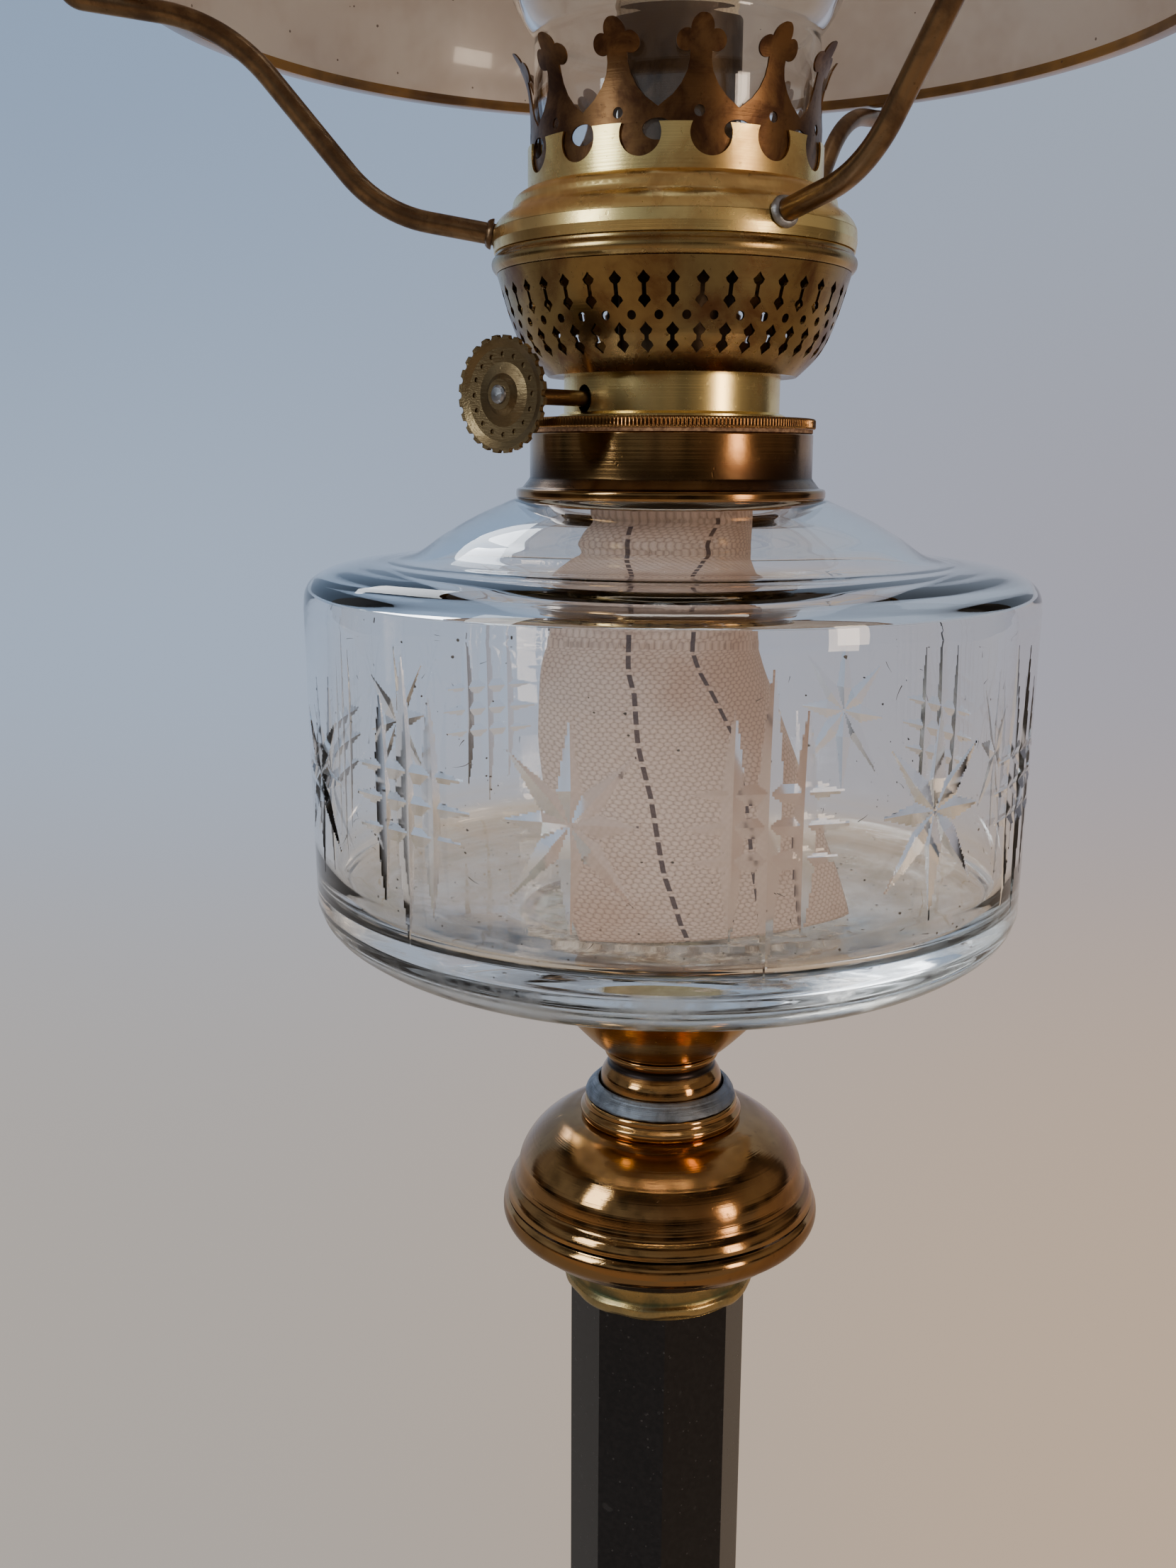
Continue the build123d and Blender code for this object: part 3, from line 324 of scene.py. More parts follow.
# %% Profile helpers
def smooth_run(points, steps=8):
    """Points on a smooth curve through the given ones."""
    given = np.array(points, float)
    padded = np.vstack([2 * given[0] - given[1], given, 2 * given[-1] - given[-2]])
    made = []
    for i in range(1, len(padded) - 2):
        p0, p1, p2, p3 = padded[i - 1:i + 3]
        for t in np.linspace(0, 1, steps, endpoint=False):
            made.append(0.5 * (2 * p1 + (p2 - p0) * t + (2 * p0 - 5 * p1 + 4 * p2 - p3) * t**2
                               + (3 * p1 - p0 - 3 * p2 + p3) * t**3))
    return [tuple(p) for p in made] + [tuple(given[-1])]


def eased(points, size=0.25, closed=True):
    """An outline whose corners are rounded over a small length, as a polished piece's are."""
    given = [np.array(p, float) for p in points]
    count = len(given)
    made = []
    for i, here in enumerate(given):
        if not closed and i in (0, count - 1):
            made.append(tuple(here))
            continue
        before, after = given[i - 1] - here, given[(i + 1) % count] - here
        length = min(np.linalg.norm(before), np.linalg.norm(after))
        if length < 1e-6:
            continue
        turn = np.dot(before, after) / (np.linalg.norm(before) * np.linalg.norm(after))
        if here[0] < 1e-6 or turn < -0.97:
            made.append(tuple(here))
            continue
        reach = min(size, 0.45 * length)
        start = here + before / np.linalg.norm(before) * reach
        end = here + after / np.linalg.norm(after) * reach
        for t in (0, 0.33, 0.67, 1):
            made.append(tuple((1 - t)**2 * start + 2 * t * (1 - t) * here + t**2 * end))
    return made


def sheet(middle, wall):
    """Closed outline of a sheet that follows a middle line."""
    line = np.array(middle, float)
    along = np.gradient(line, axis=0)
    along /= np.linalg.norm(along, axis=1)[:, None]
    side = np.stack([along[:, 1], -along[:, 0]], 1) * wall / 2
    return [tuple(p) for p in line + side] + [tuple(p) for p in (line - side)[::-1]]


def scaled(shares, radius, height, foot):
    """Outline points from shares of a radius and of a height above a foot."""
    return [(radius * across, foot + height * up) for across, up in shares]


print("smooth run of 3 points has", len(smooth_run([(0, 0), (1, 1), (2, 0)])), "points")


# %% Ring mesh with its hollow and proud attributes
def join_piece(name, points, faces, body, sharp=35):
    """A mesh object in metres that rides on a body, or on none yet."""
    mesh = bpy.data.meshes.new(name)
    mesh.from_pydata([tuple(p) for p in np.asarray(points) * MM], [], faces)
    mesh.validate()
    mesh.shade_smooth()
    mesh.set_sharp_from_angle(angle=radians(sharp))
    made = bpy.data.objects.new(name, mesh)
    bpy.context.scene.collection.objects.link(made)
    if body:
        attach(made, body)
    return made


def grid_faces(rows, cols, closed_rows=False, closed_cols=True):
    """Quads of a grid of points, row by row."""
    row, col = np.meshgrid(np.arange(rows - (not closed_rows)), np.arange(cols - (not closed_cols)), indexing="ij")
    below, beside = (row + 1) % rows, (col + 1) % cols
    quads = [row * cols + col, row * cols + beside, below * cols + beside, below * cols + col]
    return np.stack(quads, -1).reshape(-1, 4)


def profile_relief(outline, spread=0.9):
    """Signed turning of a closed outline, gathered over a short length: hollow is positive."""
    line = np.array(outline)
    ahead = np.roll(line, -1, 0) - line
    length = np.linalg.norm(ahead, axis=1) + 1e-9
    heading = np.unwrap(np.arctan2(ahead[:, 1], ahead[:, 0]))
    turning = (heading - np.roll(heading, 1) + pi) % (2 * pi) - pi
    area = 0.5 * np.sum(line[:, 0] * np.roll(line[:, 1], -1) - np.roll(line[:, 0], -1) * line[:, 1])
    gap = np.linalg.norm(line[:, None] - line[None], axis=2)
    gathered = (np.exp(-(gap / spread)**2) * turning[None]).sum(1)
    return -np.sign(area) * gathered


def lathe(name, outline, body, steps=256, sharp=35):
    """Spin a closed outline of (radius, height) points, in millimetres, about the lamp's axis."""
    line = np.array(outline, float)
    relief = profile_relief(line)
    angles = np.arange(steps) * 2 * pi / steps
    points = np.empty((len(line), steps, 3))
    points[:, :, 0] = line[:, 0, None] * np.cos(angles)
    points[:, :, 1] = line[:, 0, None] * np.sin(angles)
    points[:, :, 2] = line[:, 1, None]
    quads = grid_faces(len(line), steps, closed_rows=True)
    on_axis = line[:, 0] < 1e-6
    both = on_axis[:, None] & on_axis[(np.arange(len(line)) + 1) % len(line)][:, None]
    quads = quads[~np.repeat(both.ravel(), steps)]
    made = join_piece(name, points.reshape(-1, 3), quads.tolist(), body, sharp)
    for label, sign in (("hollow", 1), ("proud", -1)):
        attribute = made.data.attributes.new(label, "FLOAT", "POINT")
        values = np.clip(sign * relief, 0, 1.5)
        attribute.data.foreach_set("value", np.repeat(values, steps).astype(np.float32))
    return made


print("lathe ready")

# %% [markdown]
# ## Shared surface effects
# Old brass is never one colour: it darkens in patches, holds dirt in its grooves, shines on its
# beads and keeps the fine circles of the lathe. These effects come back in many finishes, so
# each is a node group with named sockets, built once and placed with its own values.

# %% Group: circles left by the lathe
circles, given, out = group("lathe_circles", [("Pitch", "Float", 3000.0)], [("Lines", "Float")])
where = axes(circles, local(circles))
radius = math(circles, "SQRT", math(circles, "ADD", math(circles, "MULTIPLY", where[0], where[0]),
                                    math(circles, "MULTIPLY", where[1], where[1])))
flat = place(circles, "CombineXYZ", {0: radius, 1: where[2]}).outputs[0]
lines = place(circles, "TexNoise", {"Vector": flat, "Scale": given["Pitch"], "Detail": 2.0,
                                    "Roughness": 0.6}, noise_dimensions="2D").outputs[0]
circles.links.new(lines, out["Lines"])
print(circles.name, "has", len(circles.nodes), "nodes")

# %% Group: fine scratches in two directions
scratches, given, out = group("fine_scratches", [("Density", "Float", 90.0)], [("Mask", "Float")])
marks = []
for turn, stretch in (((0.3, 0.7, 0.2), (1.0, 0.02, 0.5)), ((1.1, 0.2, 0.9), (0.025, 1.0, 0.4))):
    laid = place(scratches, "Mapping", {"Vector": local(scratches), "Rotation": turn, "Scale": stretch}).outputs[0]
    streaks = cloud(scratches, laid, math(scratches, "MULTIPLY", given["Density"], 16.0), 1.0, 0.4)
    marks.append(ramp(scratches, streaks, 0.74, 0.80))
scratches.links.new(math(scratches, "MAXIMUM", marks[0], marks[1]), out["Mask"])
print(scratches.name, "has", len(scratches.nodes), "nodes")

# %% Group: specks of dust or soot
specks, given, out = group("specks", [("Scale", "Float", 900.0), ("Size", "Float", 0.16)],
                           [("Mask", "Float")])
cells = place(specks, "TexVoronoi", {"Vector": local(specks), "Scale": given["Scale"]}).outputs
chosen = axes(specks, cells["Color"])[0]
spot = math(specks, "LESS_THAN", cells["Distance"], math(specks, "MULTIPLY", given["Size"], chosen))
specks.links.new(math(specks, "MULTIPLY", spot, math(specks, "GREATER_THAN", chosen, 0.55)), out["Mask"])
print(specks.name, "has", len(specks.nodes), "nodes")

# %% Group: aged brass
aged, given, out = group(
    "aged_brass",
    [("Clean", "Color", (0.6, 0.4, 0.15, 1)), ("Tarnish", "Color", (0.3, 0.15, 0.05, 1)),
     ("Dirt", "Color", (0.03, 0.02, 0.01, 1)), ("Patch Scale", "Float", 60.0),
     ("Patches", "Float", 0.7), ("Grooves", "Float", 0.8), ("Wear", "Float", 0.5),
     ("Polish", "Float", 0.12)],
    [("Color", "Color"), ("Roughness", "Float"), ("Height", "Float")])
where = local(aged)
broad = place(aged, "TexNoise", {"Vector": where, "Scale": given["Patch Scale"], "Detail": 5.0,
                                 "Roughness": 0.62, "Distortion": 0.4}).outputs[0]
small = cloud(aged, where, math(aged, "MULTIPLY", given["Patch Scale"], 11.0), 4.0, 0.7)
patch = math(aged, "MULTIPLY", ramp(aged, broad, 0.40, 0.66), given["Patches"])
spot = math(aged, "MULTIPLY", ramp(aged, small, 0.60, 0.74), given["Patches"])
hollow = place(aged, "Attribute", attribute_name="hollow").outputs["Fac"]
proud = place(aged, "Attribute", attribute_name="proud").outputs["Fac"]
dirt = math(aged, "MULTIPLY", ramp(aged, math(aged, "MULTIPLY", hollow, math(aged, "ADD", broad, 0.5)),
                                   0.12, 0.75), given["Grooves"])
wear = math(aged, "MULTIPLY", ramp(aged, math(aged, "MULTIPLY", proud, math(aged, "ADD", small, 0.5)),
                                   0.25, 1.0), given["Wear"])
paint = blend(aged, patch, given["Clean"], given["Tarnish"])
paint = blend(aged, math(aged, "MULTIPLY", spot, 0.55), paint, given["Dirt"])
paint = blend(aged, wear, paint, given["Clean"], "SCREEN")
paint = blend(aged, dirt, paint, given["Dirt"])
rough = math(aged, "MULTIPLY_ADD", patch, 0.10, given["Polish"])
rough = math(aged, "MULTIPLY_ADD", math(aged, "ADD", spot, dirt), 0.22, rough)
lines = place(aged, "Group", node_tree=circles)
thin = place(aged, "Group", {"Density": 70.0}, node_tree=scratches)
height = math(aged, "MULTIPLY_ADD", small, 0.35, math(aged, "MULTIPLY", lines.outputs[0], 0.5))
height = math(aged, "MULTIPLY_ADD", thin.outputs[0], -0.25, height)
aged.links.new(paint, out["Color"])
aged.links.new(math(aged, "MINIMUM", rough, 0.8), out["Roughness"])
aged.links.new(height, out["Height"])
print(aged.name, "has", len(aged.nodes), "nodes")

# %% Group: weave of the wick
weave, given, out = group(
    "cotton_weave", [("Across", "Float", 1.45), ("Rise", "Float", 0.74)],
    [("Height", "Float"), ("Shade", "Float")])
threads = place(weave, "UVMap", uv_map="threads").outputs[0]
cloth = axes(weave, threads)
drift = cloud(weave, threads, 0.3, 3.0)
row = math(weave, "DIVIDE", math(weave, "MULTIPLY_ADD", drift, 1.4, cloth[1]), given["Rise"])
stagger = math(weave, "MULTIPLY", math(weave, "FLOOR", row), 0.5)
aside = math(weave, "MULTIPLY_ADD", drift, 0.9, cloth[0])
column = math(weave, "ADD", math(weave, "DIVIDE", aside, given["Across"]), stagger)


def from_middle(count):
    """Squared distance from the middle of a cell, 0 to 1."""
    aside = math(weave, "MULTIPLY_ADD", math(weave, "FRACT", count), 2.0, -1.0)
    return math(weave, "MULTIPLY", aside, aside)


oval = math(weave, "MULTIPLY_ADD", from_middle(row), 0.55, math(weave, "MULTIPLY", from_middle(column), 0.95))
loop = ramp(weave, oval, 1.15, 0.0)
fuzz = cloud(weave, threads, 3.5, 5.0, 0.7)
weave.links.new(math(weave, "MULTIPLY_ADD", fuzz, 0.5, loop), out["Height"])
weave.links.new(math(weave, "MULTIPLY_ADD", loop, 0.45, math(weave, "MULTIPLY", fuzz, 0.9)), out["Shade"])
print(weave.name, "has", len(weave.nodes), "nodes")

# %% [markdown]
# ## Finishes in brass
# One group, several finishes: what differs is how clean the metal is. The stand was polished
# often and is dark gold; the basket is browner; the gallery's wall is yellow and bright; the
# arms are nearly black-brown; the crown of springs was browned by heat.

# %% Materials of brass
def metal(name, clean, tarnish, dirt, patch_scale=60, patches=0.7, grooves=0.85, wear=0.5, polish=0.13,
          relief=0.00004):
    made, tree, shader = begin(name)
    skin = place(tree, "Group", {"Clean": clean, "Tarnish": tarnish, "Dirt": dirt, "Patch Scale": patch_scale,
                                 "Patches": patches, "Grooves": grooves, "Wear": wear, "Polish": polish},
                 node_tree=aged)
    shader.inputs["Metallic"].default_value = 1.0
    bump = place(tree, "Bump", {"Height": skin.outputs["Height"], "Distance": relief, "Strength": 1.0})
    tree.links.new(skin.outputs["Color"], shader.inputs["Base Color"])
    tree.links.new(skin.outputs["Roughness"], shader.inputs["Roughness"])
    tree.links.new(bump.outputs[0], shader.inputs["Normal"])
    return made


soot = (0.012, 0.008, 0.006, 1)
brass_stand = metal("brass_stand", (0.40, 0.22, 0.085, 1), (0.20, 0.09, 0.035, 1), (0.022, 0.021, 0.024, 1),
                    45, 0.6, 0.95, 0.4, 0.10)
brass_collar = metal("brass_collar", (0.27, 0.15, 0.055, 1), (0.14, 0.05, 0.022, 1), soot,
                     40, 0.65, 0.8, 0.4, 0.12)
brass_basket = metal("brass_basket", (0.33, 0.225, 0.09, 1), (0.15, 0.065, 0.027, 1), soot,
                     70, 0.95, 0.8, 0.5, 0.22, 0.00002)
brass_gallery = metal("brass_gallery", (1.0, 0.78, 0.33, 1), (0.56, 0.32, 0.12, 1), soot,
                      55, 0.75, 0.8, 0.5, 0.24, 0.00002)
brass_arm = metal("brass_arm", (0.30, 0.19, 0.10, 1), (0.11, 0.065, 0.04, 1), soot, 120, 0.8, 0.6, 0.3, 0.30)
brass_crown = metal("brass_crown", (0.22, 0.115, 0.05, 1), (0.08, 0.038, 0.022, 1), soot,
                    150, 0.95, 0.6, 0.3, 0.34)
brass_tube = metal("brass_tube", (0.12, 0.08, 0.05, 1), (0.035, 0.022, 0.016, 1), soot,
                   110, 0.8, 0.6, 0.2, 0.42)
brass_knob = metal("brass_knob", (0.23, 0.165, 0.085, 1), (0.12, 0.08, 0.04, 1), soot,
                   130, 0.8, 0.9, 0.5, 0.34, 0.00007)
steel = metal("steel", (0.42, 0.43, 0.46, 1), (0.22, 0.20, 0.19, 1), soot, 140, 0.6, 0.7, 0.4, 0.30)
solder = metal("solder", (0.20, 0.225, 0.27, 1), (0.085, 0.095, 0.115, 1), (0.03, 0.033, 0.04, 1),
               260, 0.8, 0.9, 0.2, 0.40, 0.0003)
print("brass finishes made:", len([m for m in bpy.data.materials if m.name.startswith("brass")]))

# %% [markdown]
# ## Stone, felt, plaster, cork and cotton
# The column is black stone with a worn satin polish: nearly no colour of its own, a soft gloss,
# pale dust in the pores and hairline scratches.

# %% Materials that are neither metal nor glass
def plain(name, paint_low, paint_high, scale, rough, relief, detail=6.0):
    """A dull material of two colours in noise, with a bump of the same noise."""
    made, tree, shader = begin(name)
    grain = cloud(tree, local(tree), scale, detail, 0.65)
    paint = blend(tree, ramp(tree, grain, 0.38, 0.64), paint_low, paint_high)
    tree.links.new(paint, shader.inputs["Base Color"])
    shader.inputs["Roughness"].default_value = rough
    bump = place(tree, "Bump", {"Height": grain, "Distance": relief})
    tree.links.new(bump.outputs[0], shader.inputs["Normal"])
    return made, tree, shader


stone, tree, shader = plain("black_stone", (0.0035, 0.0030, 0.0036, 1), (0.0075, 0.0062, 0.0066, 1),
                            900, 0.2, 0.00001)
thin = place(tree, "Group", {"Density": 55.0}, node_tree=scratches)
dust = place(tree, "Group", {"Scale": 700.0}, node_tree=specks)
pale = math(tree, "MULTIPLY_ADD", thin.outputs[0], 0.12, math(tree, "MULTIPLY", dust.outputs[0], 0.3))
tree.links.new(blend(tree, pale, fed(shader), (0.10, 0.09, 0.085, 1)), shader.inputs["Base Color"])
tree.links.new(math(tree, "MULTIPLY_ADD", pale, 0.25, 0.21), shader.inputs["Roughness"])
shader.inputs["Specular IOR Level"].default_value = 0.42
felt = plain("green_felt", (0.012, 0.03, 0.016, 1), (0.03, 0.06, 0.035, 1), 2500, 0.95, 0.0003)[0]
plaster = plain("plaster", (0.56, 0.52, 0.44, 1), (0.72, 0.68, 0.6, 1), 500, 0.85, 0.0001)[0]
cork = plain("cork", (0.16, 0.08, 0.035, 1), (0.36, 0.2, 0.1, 1), 1100, 0.8, 0.0002)[0]
residue, tree, shader = plain("oil_residue", (0.14, 0.085, 0.05, 1), (0.52, 0.42, 0.33, 1), 420, 0.45, 0.0002)
blots = cloud(tree, local(tree), 95.0, 6.0, 0.68)
tree.links.new(ramp(tree, blots, 0.44, 0.60, 0.04, 0.8), shader.inputs["Alpha"])
fleck = plain("dark_fleck", (0.010, 0.007, 0.006, 1), (0.05, 0.035, 0.025, 1), 900, 0.6, 0.0001)[0]
print("dull materials:", [m.name for m in (stone, felt, plaster, cork, residue, fleck)])


# %% [markdown]
# The wick is a thick knitted cotton band. Its loops show as staggered ovals, about one and a half
# millimetres apart, and two dark marker threads run down it. They surface and dive like a running
# stitch, so each shows as a row of dashes. How far a point lies from each thread is written on
# the cloth's mesh, and the material turns that distance into the thread.

# %% Cotton of the wick
def cotton(name, low, high, across=1.45, rise=0.74):
    """Cloth whose loops stand in staggered rows, with soft stains of oil."""
    made, tree, shader = begin(name)
    cloth = place(tree, "Group", {"Across": across, "Rise": rise}, node_tree=weave)
    stain = cloud(tree, local(tree), 45.0, 4.0)
    base = blend(tree, cloth.outputs["Shade"], low, high)
    base = blend(tree, ramp(tree, stain, 0.42, 0.66, 0.0, 0.5), base, (0.66, 0.50, 0.40, 1), "MULTIPLY")
    tree.links.new(base, shader.inputs["Base Color"])
    shader.inputs["Roughness"].default_value = 0.95
    shader.inputs["Sheen Weight"].default_value = 0.15
    bump = place(tree, "Bump", {"Height": cloth.outputs["Height"], "Distance": 0.00012, "Strength": 0.6})
    tree.links.new(bump.outputs[0], shader.inputs["Normal"])
    return made, tree, shader


wick_cotton, tree, shader = cotton("wick_cotton", (0.13, 0.085, 0.07, 1), (0.49, 0.375, 0.325, 1))
along = axes(tree, place(tree, "UVMap", uv_map="threads").outputs[0])[1]
pulse = math(tree, "PINGPONG", math(tree, "ADD", along, 0.3), 1.55)
dash = ramp(tree, pulse, 0.36, 0.5)
base = fed(shader)
for line in ("marker_one", "marker_two"):
    aside = math(tree, "ABSOLUTE", place(tree, "Attribute", attribute_name=line).outputs["Fac"])
    thread = math(tree, "MULTIPLY", ramp(tree, aside, 0.5, 0.38), dash)
    base = blend(tree, math(tree, "MULTIPLY", thread, 0.93), base, (0.030, 0.018, 0.026, 1))
tree.links.new(base, shader.inputs["Base Color"])
wick_head = cotton("wick_head", (0.46, 0.36, 0.24, 1), (0.80, 0.70, 0.52, 1), 1.2, 0.6)[0]
print("cotton materials:", wick_cotton.name, wick_head.name)

# %% [markdown]
# ## Glass
# Three glasses: the fount's heavy, faintly green one; the chimney's thin clear one; and the
# shade's, which is white opal inside with a skin of amber. Clear glass bends light, and a plain
# render would give it a shadow as dark as a stone's, so rays that look for a lamp pass it.

# %% Materials of glass
def clear_glass(name, colour, rough, passing):
    made, tree, shader = begin(name)
    shader.inputs["Transmission Weight"].default_value = 1.0
    shader.inputs["IOR"].default_value = 1.5
    shader.inputs["Roughness"].default_value = rough
    shader.inputs["Base Color"].default_value = colour
    shadow = place(tree, "LightPath").outputs["Is Shadow Ray"]
    through = place(tree, "BsdfTransparent", {"Color": passing}).outputs[0]
    both = place(tree, "MixShader", {0: shadow, 1: shader.outputs[0], 2: through}).outputs[0]
    tree.links.new(both, tree.nodes["Material Output"].inputs["Surface"])
    return made, tree, shader


fount_clear, tree, shader = clear_glass("fount_clear", (0.965, 0.985, 0.972, 1), 0.0, (0.93, 0.95, 0.94, 1))
where = axes(tree, local(tree))
dots = place(tree, "Group", {"Scale": 420.0, "Size": 0.10}, node_tree=specks)
low_down = ramp(tree, where[2], 0.372, 0.335)
mark = math(tree, "MULTIPLY", dots.outputs[0], math(tree, "MULTIPLY_ADD", low_down, 0.9, 0.1))
film = cloud(tree, local(tree), 130.0, 5.0, 0.65)
floor_film = math(tree, "MULTIPLY", ramp(tree, where[2], 0.3400, 0.3372), ramp(tree, film, 0.40, 0.62))
# The glass's foot, below its floor, is tinted golden brown in upright streaks. This is a painted refraction of the
# brass cup seen through the thick glass, not a colour of the glass itself.
swirl = place(tree, "Mapping", {"Vector": local(tree), "Scale": (12, 12, 420)}).outputs[0]
painted_cup_streak = ramp(tree, cloud(tree, swirl, 1.0, 4.0, 0.6), 0.30, 0.62, 0.35, 1.0)
thick = math(tree, "MULTIPLY", ramp(tree, where[2], 0.3385, 0.3300), painted_cup_streak)
base = blend(tree, thick, (0.985, 0.988, 0.982, 1), (0.42, 0.34, 0.17, 1))
base = blend(tree, math(tree, "MULTIPLY", floor_film, 0.55), base, (0.74, 0.58, 0.40, 1))
tree.links.new(blend(tree, mark, base, (0.05, 0.035, 0.025, 1)), shader.inputs["Base Color"])
ground = place(tree, "Attribute", attribute_name="ground").outputs["Fac"]
smear = math(tree, "MULTIPLY_ADD", floor_film, 0.25, math(tree, "MULTIPLY", ground, 0.14))
tree.links.new(math(tree, "ADD", smear, ramp(tree, film, 0.60, 0.75, 0.0, 0.03)), shader.inputs["Roughness"])

chimney_clear, tree, shader = clear_glass("chimney_clear", (0.985, 0.992, 0.996, 1), 0.0,
                                          (0.96, 0.97, 0.98, 1))
smoke = cloud(tree, local(tree), 60.0, 5.0)
tree.links.new(ramp(tree, smoke, 0.52, 0.74, 0.0, 0.05), shader.inputs["Roughness"])
print("clear glasses:", fount_clear.name, chimney_clear.name)


# %% Opal glass with an amber skin
def shade_glass(name, low, high, rough, coat):
    made, tree, shader = plain(name, low, high, 30, rough, 0.00002, 4.0)
    shader.inputs["Coat Weight"].default_value = coat
    shader.inputs["Coat Roughness"].default_value = 0.04
    dots = place(tree, "Group", {"Scale": 260.0, "Size": 0.09}, node_tree=specks)
    dotted = blend(tree, math(tree, "MULTIPLY", dots.outputs[0], 0.8), fed(shader), (0.08, 0.04, 0.02, 1))
    tree.links.new(dotted, shader.inputs["Base Color"])
    return made


opal = shade_glass("opal_glass", (0.66, 0.57, 0.50, 1), (0.76, 0.69, 0.63, 1), 0.22, 0.5)
amber = shade_glass("amber_glass", (0.34, 0.13, 0.018, 1), (0.50, 0.22, 0.035, 1), 0.10, 0.8)
amber_rim = shade_glass("amber_rim", (0.10, 0.045, 0.012, 1), (0.30, 0.15, 0.03, 1), 0.12, 0.6)
print("shade glasses:", opal.name, amber.name, amber_rim.name)

# %% [markdown]
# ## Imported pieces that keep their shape
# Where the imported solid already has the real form, such as the pierced basket and the crown of
# springs, it stays and only gets a finish. A Bevel modifier breaks the sharpest edges, because
# real edges always catch a thin line of light.

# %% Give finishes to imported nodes
def dress(node, material, soft_edge=0.0, sharp=30):
    made = nodes[node]
    made.data.materials.clear()
    made.data.materials.append(material)
    made.data.shade_smooth()
    made.data.set_sharp_from_angle(angle=radians(sharp))
    if soft_edge:
        bevel = made.modifiers.new("soft_edges", "BEVEL")
        bevel.width = soft_edge * MM
        bevel.segments = 2
        bevel.limit_method = "ANGLE"
        bevel.angle_limit = radians(30)
        bevel.harden_normals = True
    return made


for node in ("plinth_lower_step", "plinth_middle_step", "plinth_upper_step", "column"):
    dress(node, stone, 0.35)
for node, material in (
        ("column_foot_collar", brass_stand), ("tie_rod", steel), ("tie_rod_washer", steel),
        ("tie_rod_nut", steel), ("cup_plaster", plaster), ("collar_plaster", plaster),
        ("collar_seal", cork), ("burner_drum", brass_gallery), ("basket", brass_basket),
        ("wick_tube", brass_tube), ("air_tube", brass_tube), ("air_duct", brass_tube),
        ("spindle_bracket", brass_basket), ("spindle_shaft", brass_arm), ("wick_wheels", steel),
        ("winder_knob", brass_knob), ("winder_rivet", steel), ("gallery", brass_gallery),
        ("spring_crown", brass_crown), ("shade_arm_left", brass_arm),
        ("shade_arm_front", brass_arm), ("shade_arm_back", brass_arm)):
    dress(node, material)
print("packed nodes dressed:", sum(len(o.data.materials) == 1 for o in nodes.values()))

# %% [markdown]
# ## The stand's turned pieces
# Cap, knop, neck and cup are thin brass, pressed over a form while it turned. Knop and cup are each
# drawn as the middle line of a sheet and given its thickness, which keeps both faces true; cap and
# neck are spun from closed outlines.

# %% Felt under the plinth
def felt_pad():
    radius, thickness = 73.0, 1.5
    rings = [(0.0, 0.0), (radius - 0.5, 0.0), (radius, 0.35), (radius, thickness - 0.35),
             (radius - 0.5, thickness), (0.0, thickness)]
    points = []
    corners = [radians(5 + 45 * i) for i in range(8)]
    for reach, z in rings:
        for i in range(8):
            a, b = corners[i], corners[(i + 1) % 8]
            for t in np.linspace(0, 1, 12, endpoint=False):
                points.append((reach * ((1 - t) * cos(a) + t * cos(b)),
                               reach * ((1 - t) * sin(a) + t * sin(b)), z))
    return join_piece("felt_pad", points, grid_faces(len(rings), 96).tolist(), "stand")


pad = felt_pad()
pad.data.materials.append(felt)
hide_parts("base_felt")
print("felt pad faces:", len(pad.data.polygons))

# %% Cap beaten over the head of the column
def table(things, field):
    """Three numbers of each point or face of a mesh, in millimetres."""
    flat = np.empty(len(things) * 3, np.float32)
    things.foreach_get(field, flat)
    return flat.reshape(-1, 3).astype(float) / MM


def polar(point):
    """Radius, and azimuth in degrees from the front, of rows of points."""
    return np.hypot(point[:, 0], point[:, 1]), np.degrees(np.arctan2(point[:, 0], -point[:, 1]))


def reshape(made, change):
    """Move a ring mesh's points: change takes radius, azimuth and height, in millimetres and degrees."""
    mesh = made.data
    point = table(mesh.vertices, "co")
    radius, azimuth = polar(point)
    new_radius, new_height = change(radius, azimuth, point[:, 2].copy())
    share = np.where(radius > 1e-6, new_radius / np.maximum(radius, 1e-6), 1)
    point[:, :2] *= share[:, None]
    point[:, 2] = new_height
    mesh.vertices.foreach_set("co", (point * MM).astype(np.float32).ravel())
    mesh.update()
    return made


cap_foot = span("column_cap")[0]
cap_outline = [(4.1, knop_foot), (18.9, knop_foot), (19.0, knop_foot - 0.4), (19.0, cap_foot + 3.9),
               (19.2, cap_foot + 3.2), (19.9, cap_foot + 2.4), (19.9, cap_foot + 1.0), (19.3, cap_foot + 0.1),
               (18.7, cap_foot), (18.4, cap_foot + 0.3), (18.4, knop_foot - 1.2), (4.1, knop_foot - 1.2)]


def beaten(radius, azimuth, height):
    """The lip is driven in over the flats of the column and left proud at its corners."""
    low = np.clip((cap_foot + 4.4 - height) / 3.5, 0, 1) * (radius > 18.6)
    corner = np.cos(np.radians(8 * (azimuth - 5)))
    uneven = np.sin(np.radians(azimuth * 3 + 40)) + 0.6 * np.sin(np.radians(azimuth * 11))
    lift = low * np.clip(0.3 * uneven + 0.2, 0, 0.6)
    return radius + low * (0.08 * corner - 0.28 - 0.10 * uneven), height + lift


brass_cap = metal("brass_cap", (0.50, 0.34, 0.13, 1), (0.20, 0.17, 0.09, 1), (0.07, 0.10, 0.055, 1),
                  110, 0.9, 1.0, 0.6, 0.24, 0.0001)
cap = reshape(lathe("column_cap_beaten", eased(cap_outline, 0.3), "stand", 384), beaten)
cap.data.materials.append(brass_cap)
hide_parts("column_cap")
print("cap points:", len(cap.data.vertices))


# %% Knop of two shells
def turned(name, outline, body, node, material, steps=256, sharp=35):
    """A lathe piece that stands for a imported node."""
    made = lathe(name, outline, body, steps, sharp)
    made.data.materials.append(material)
    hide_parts(node)
    return made


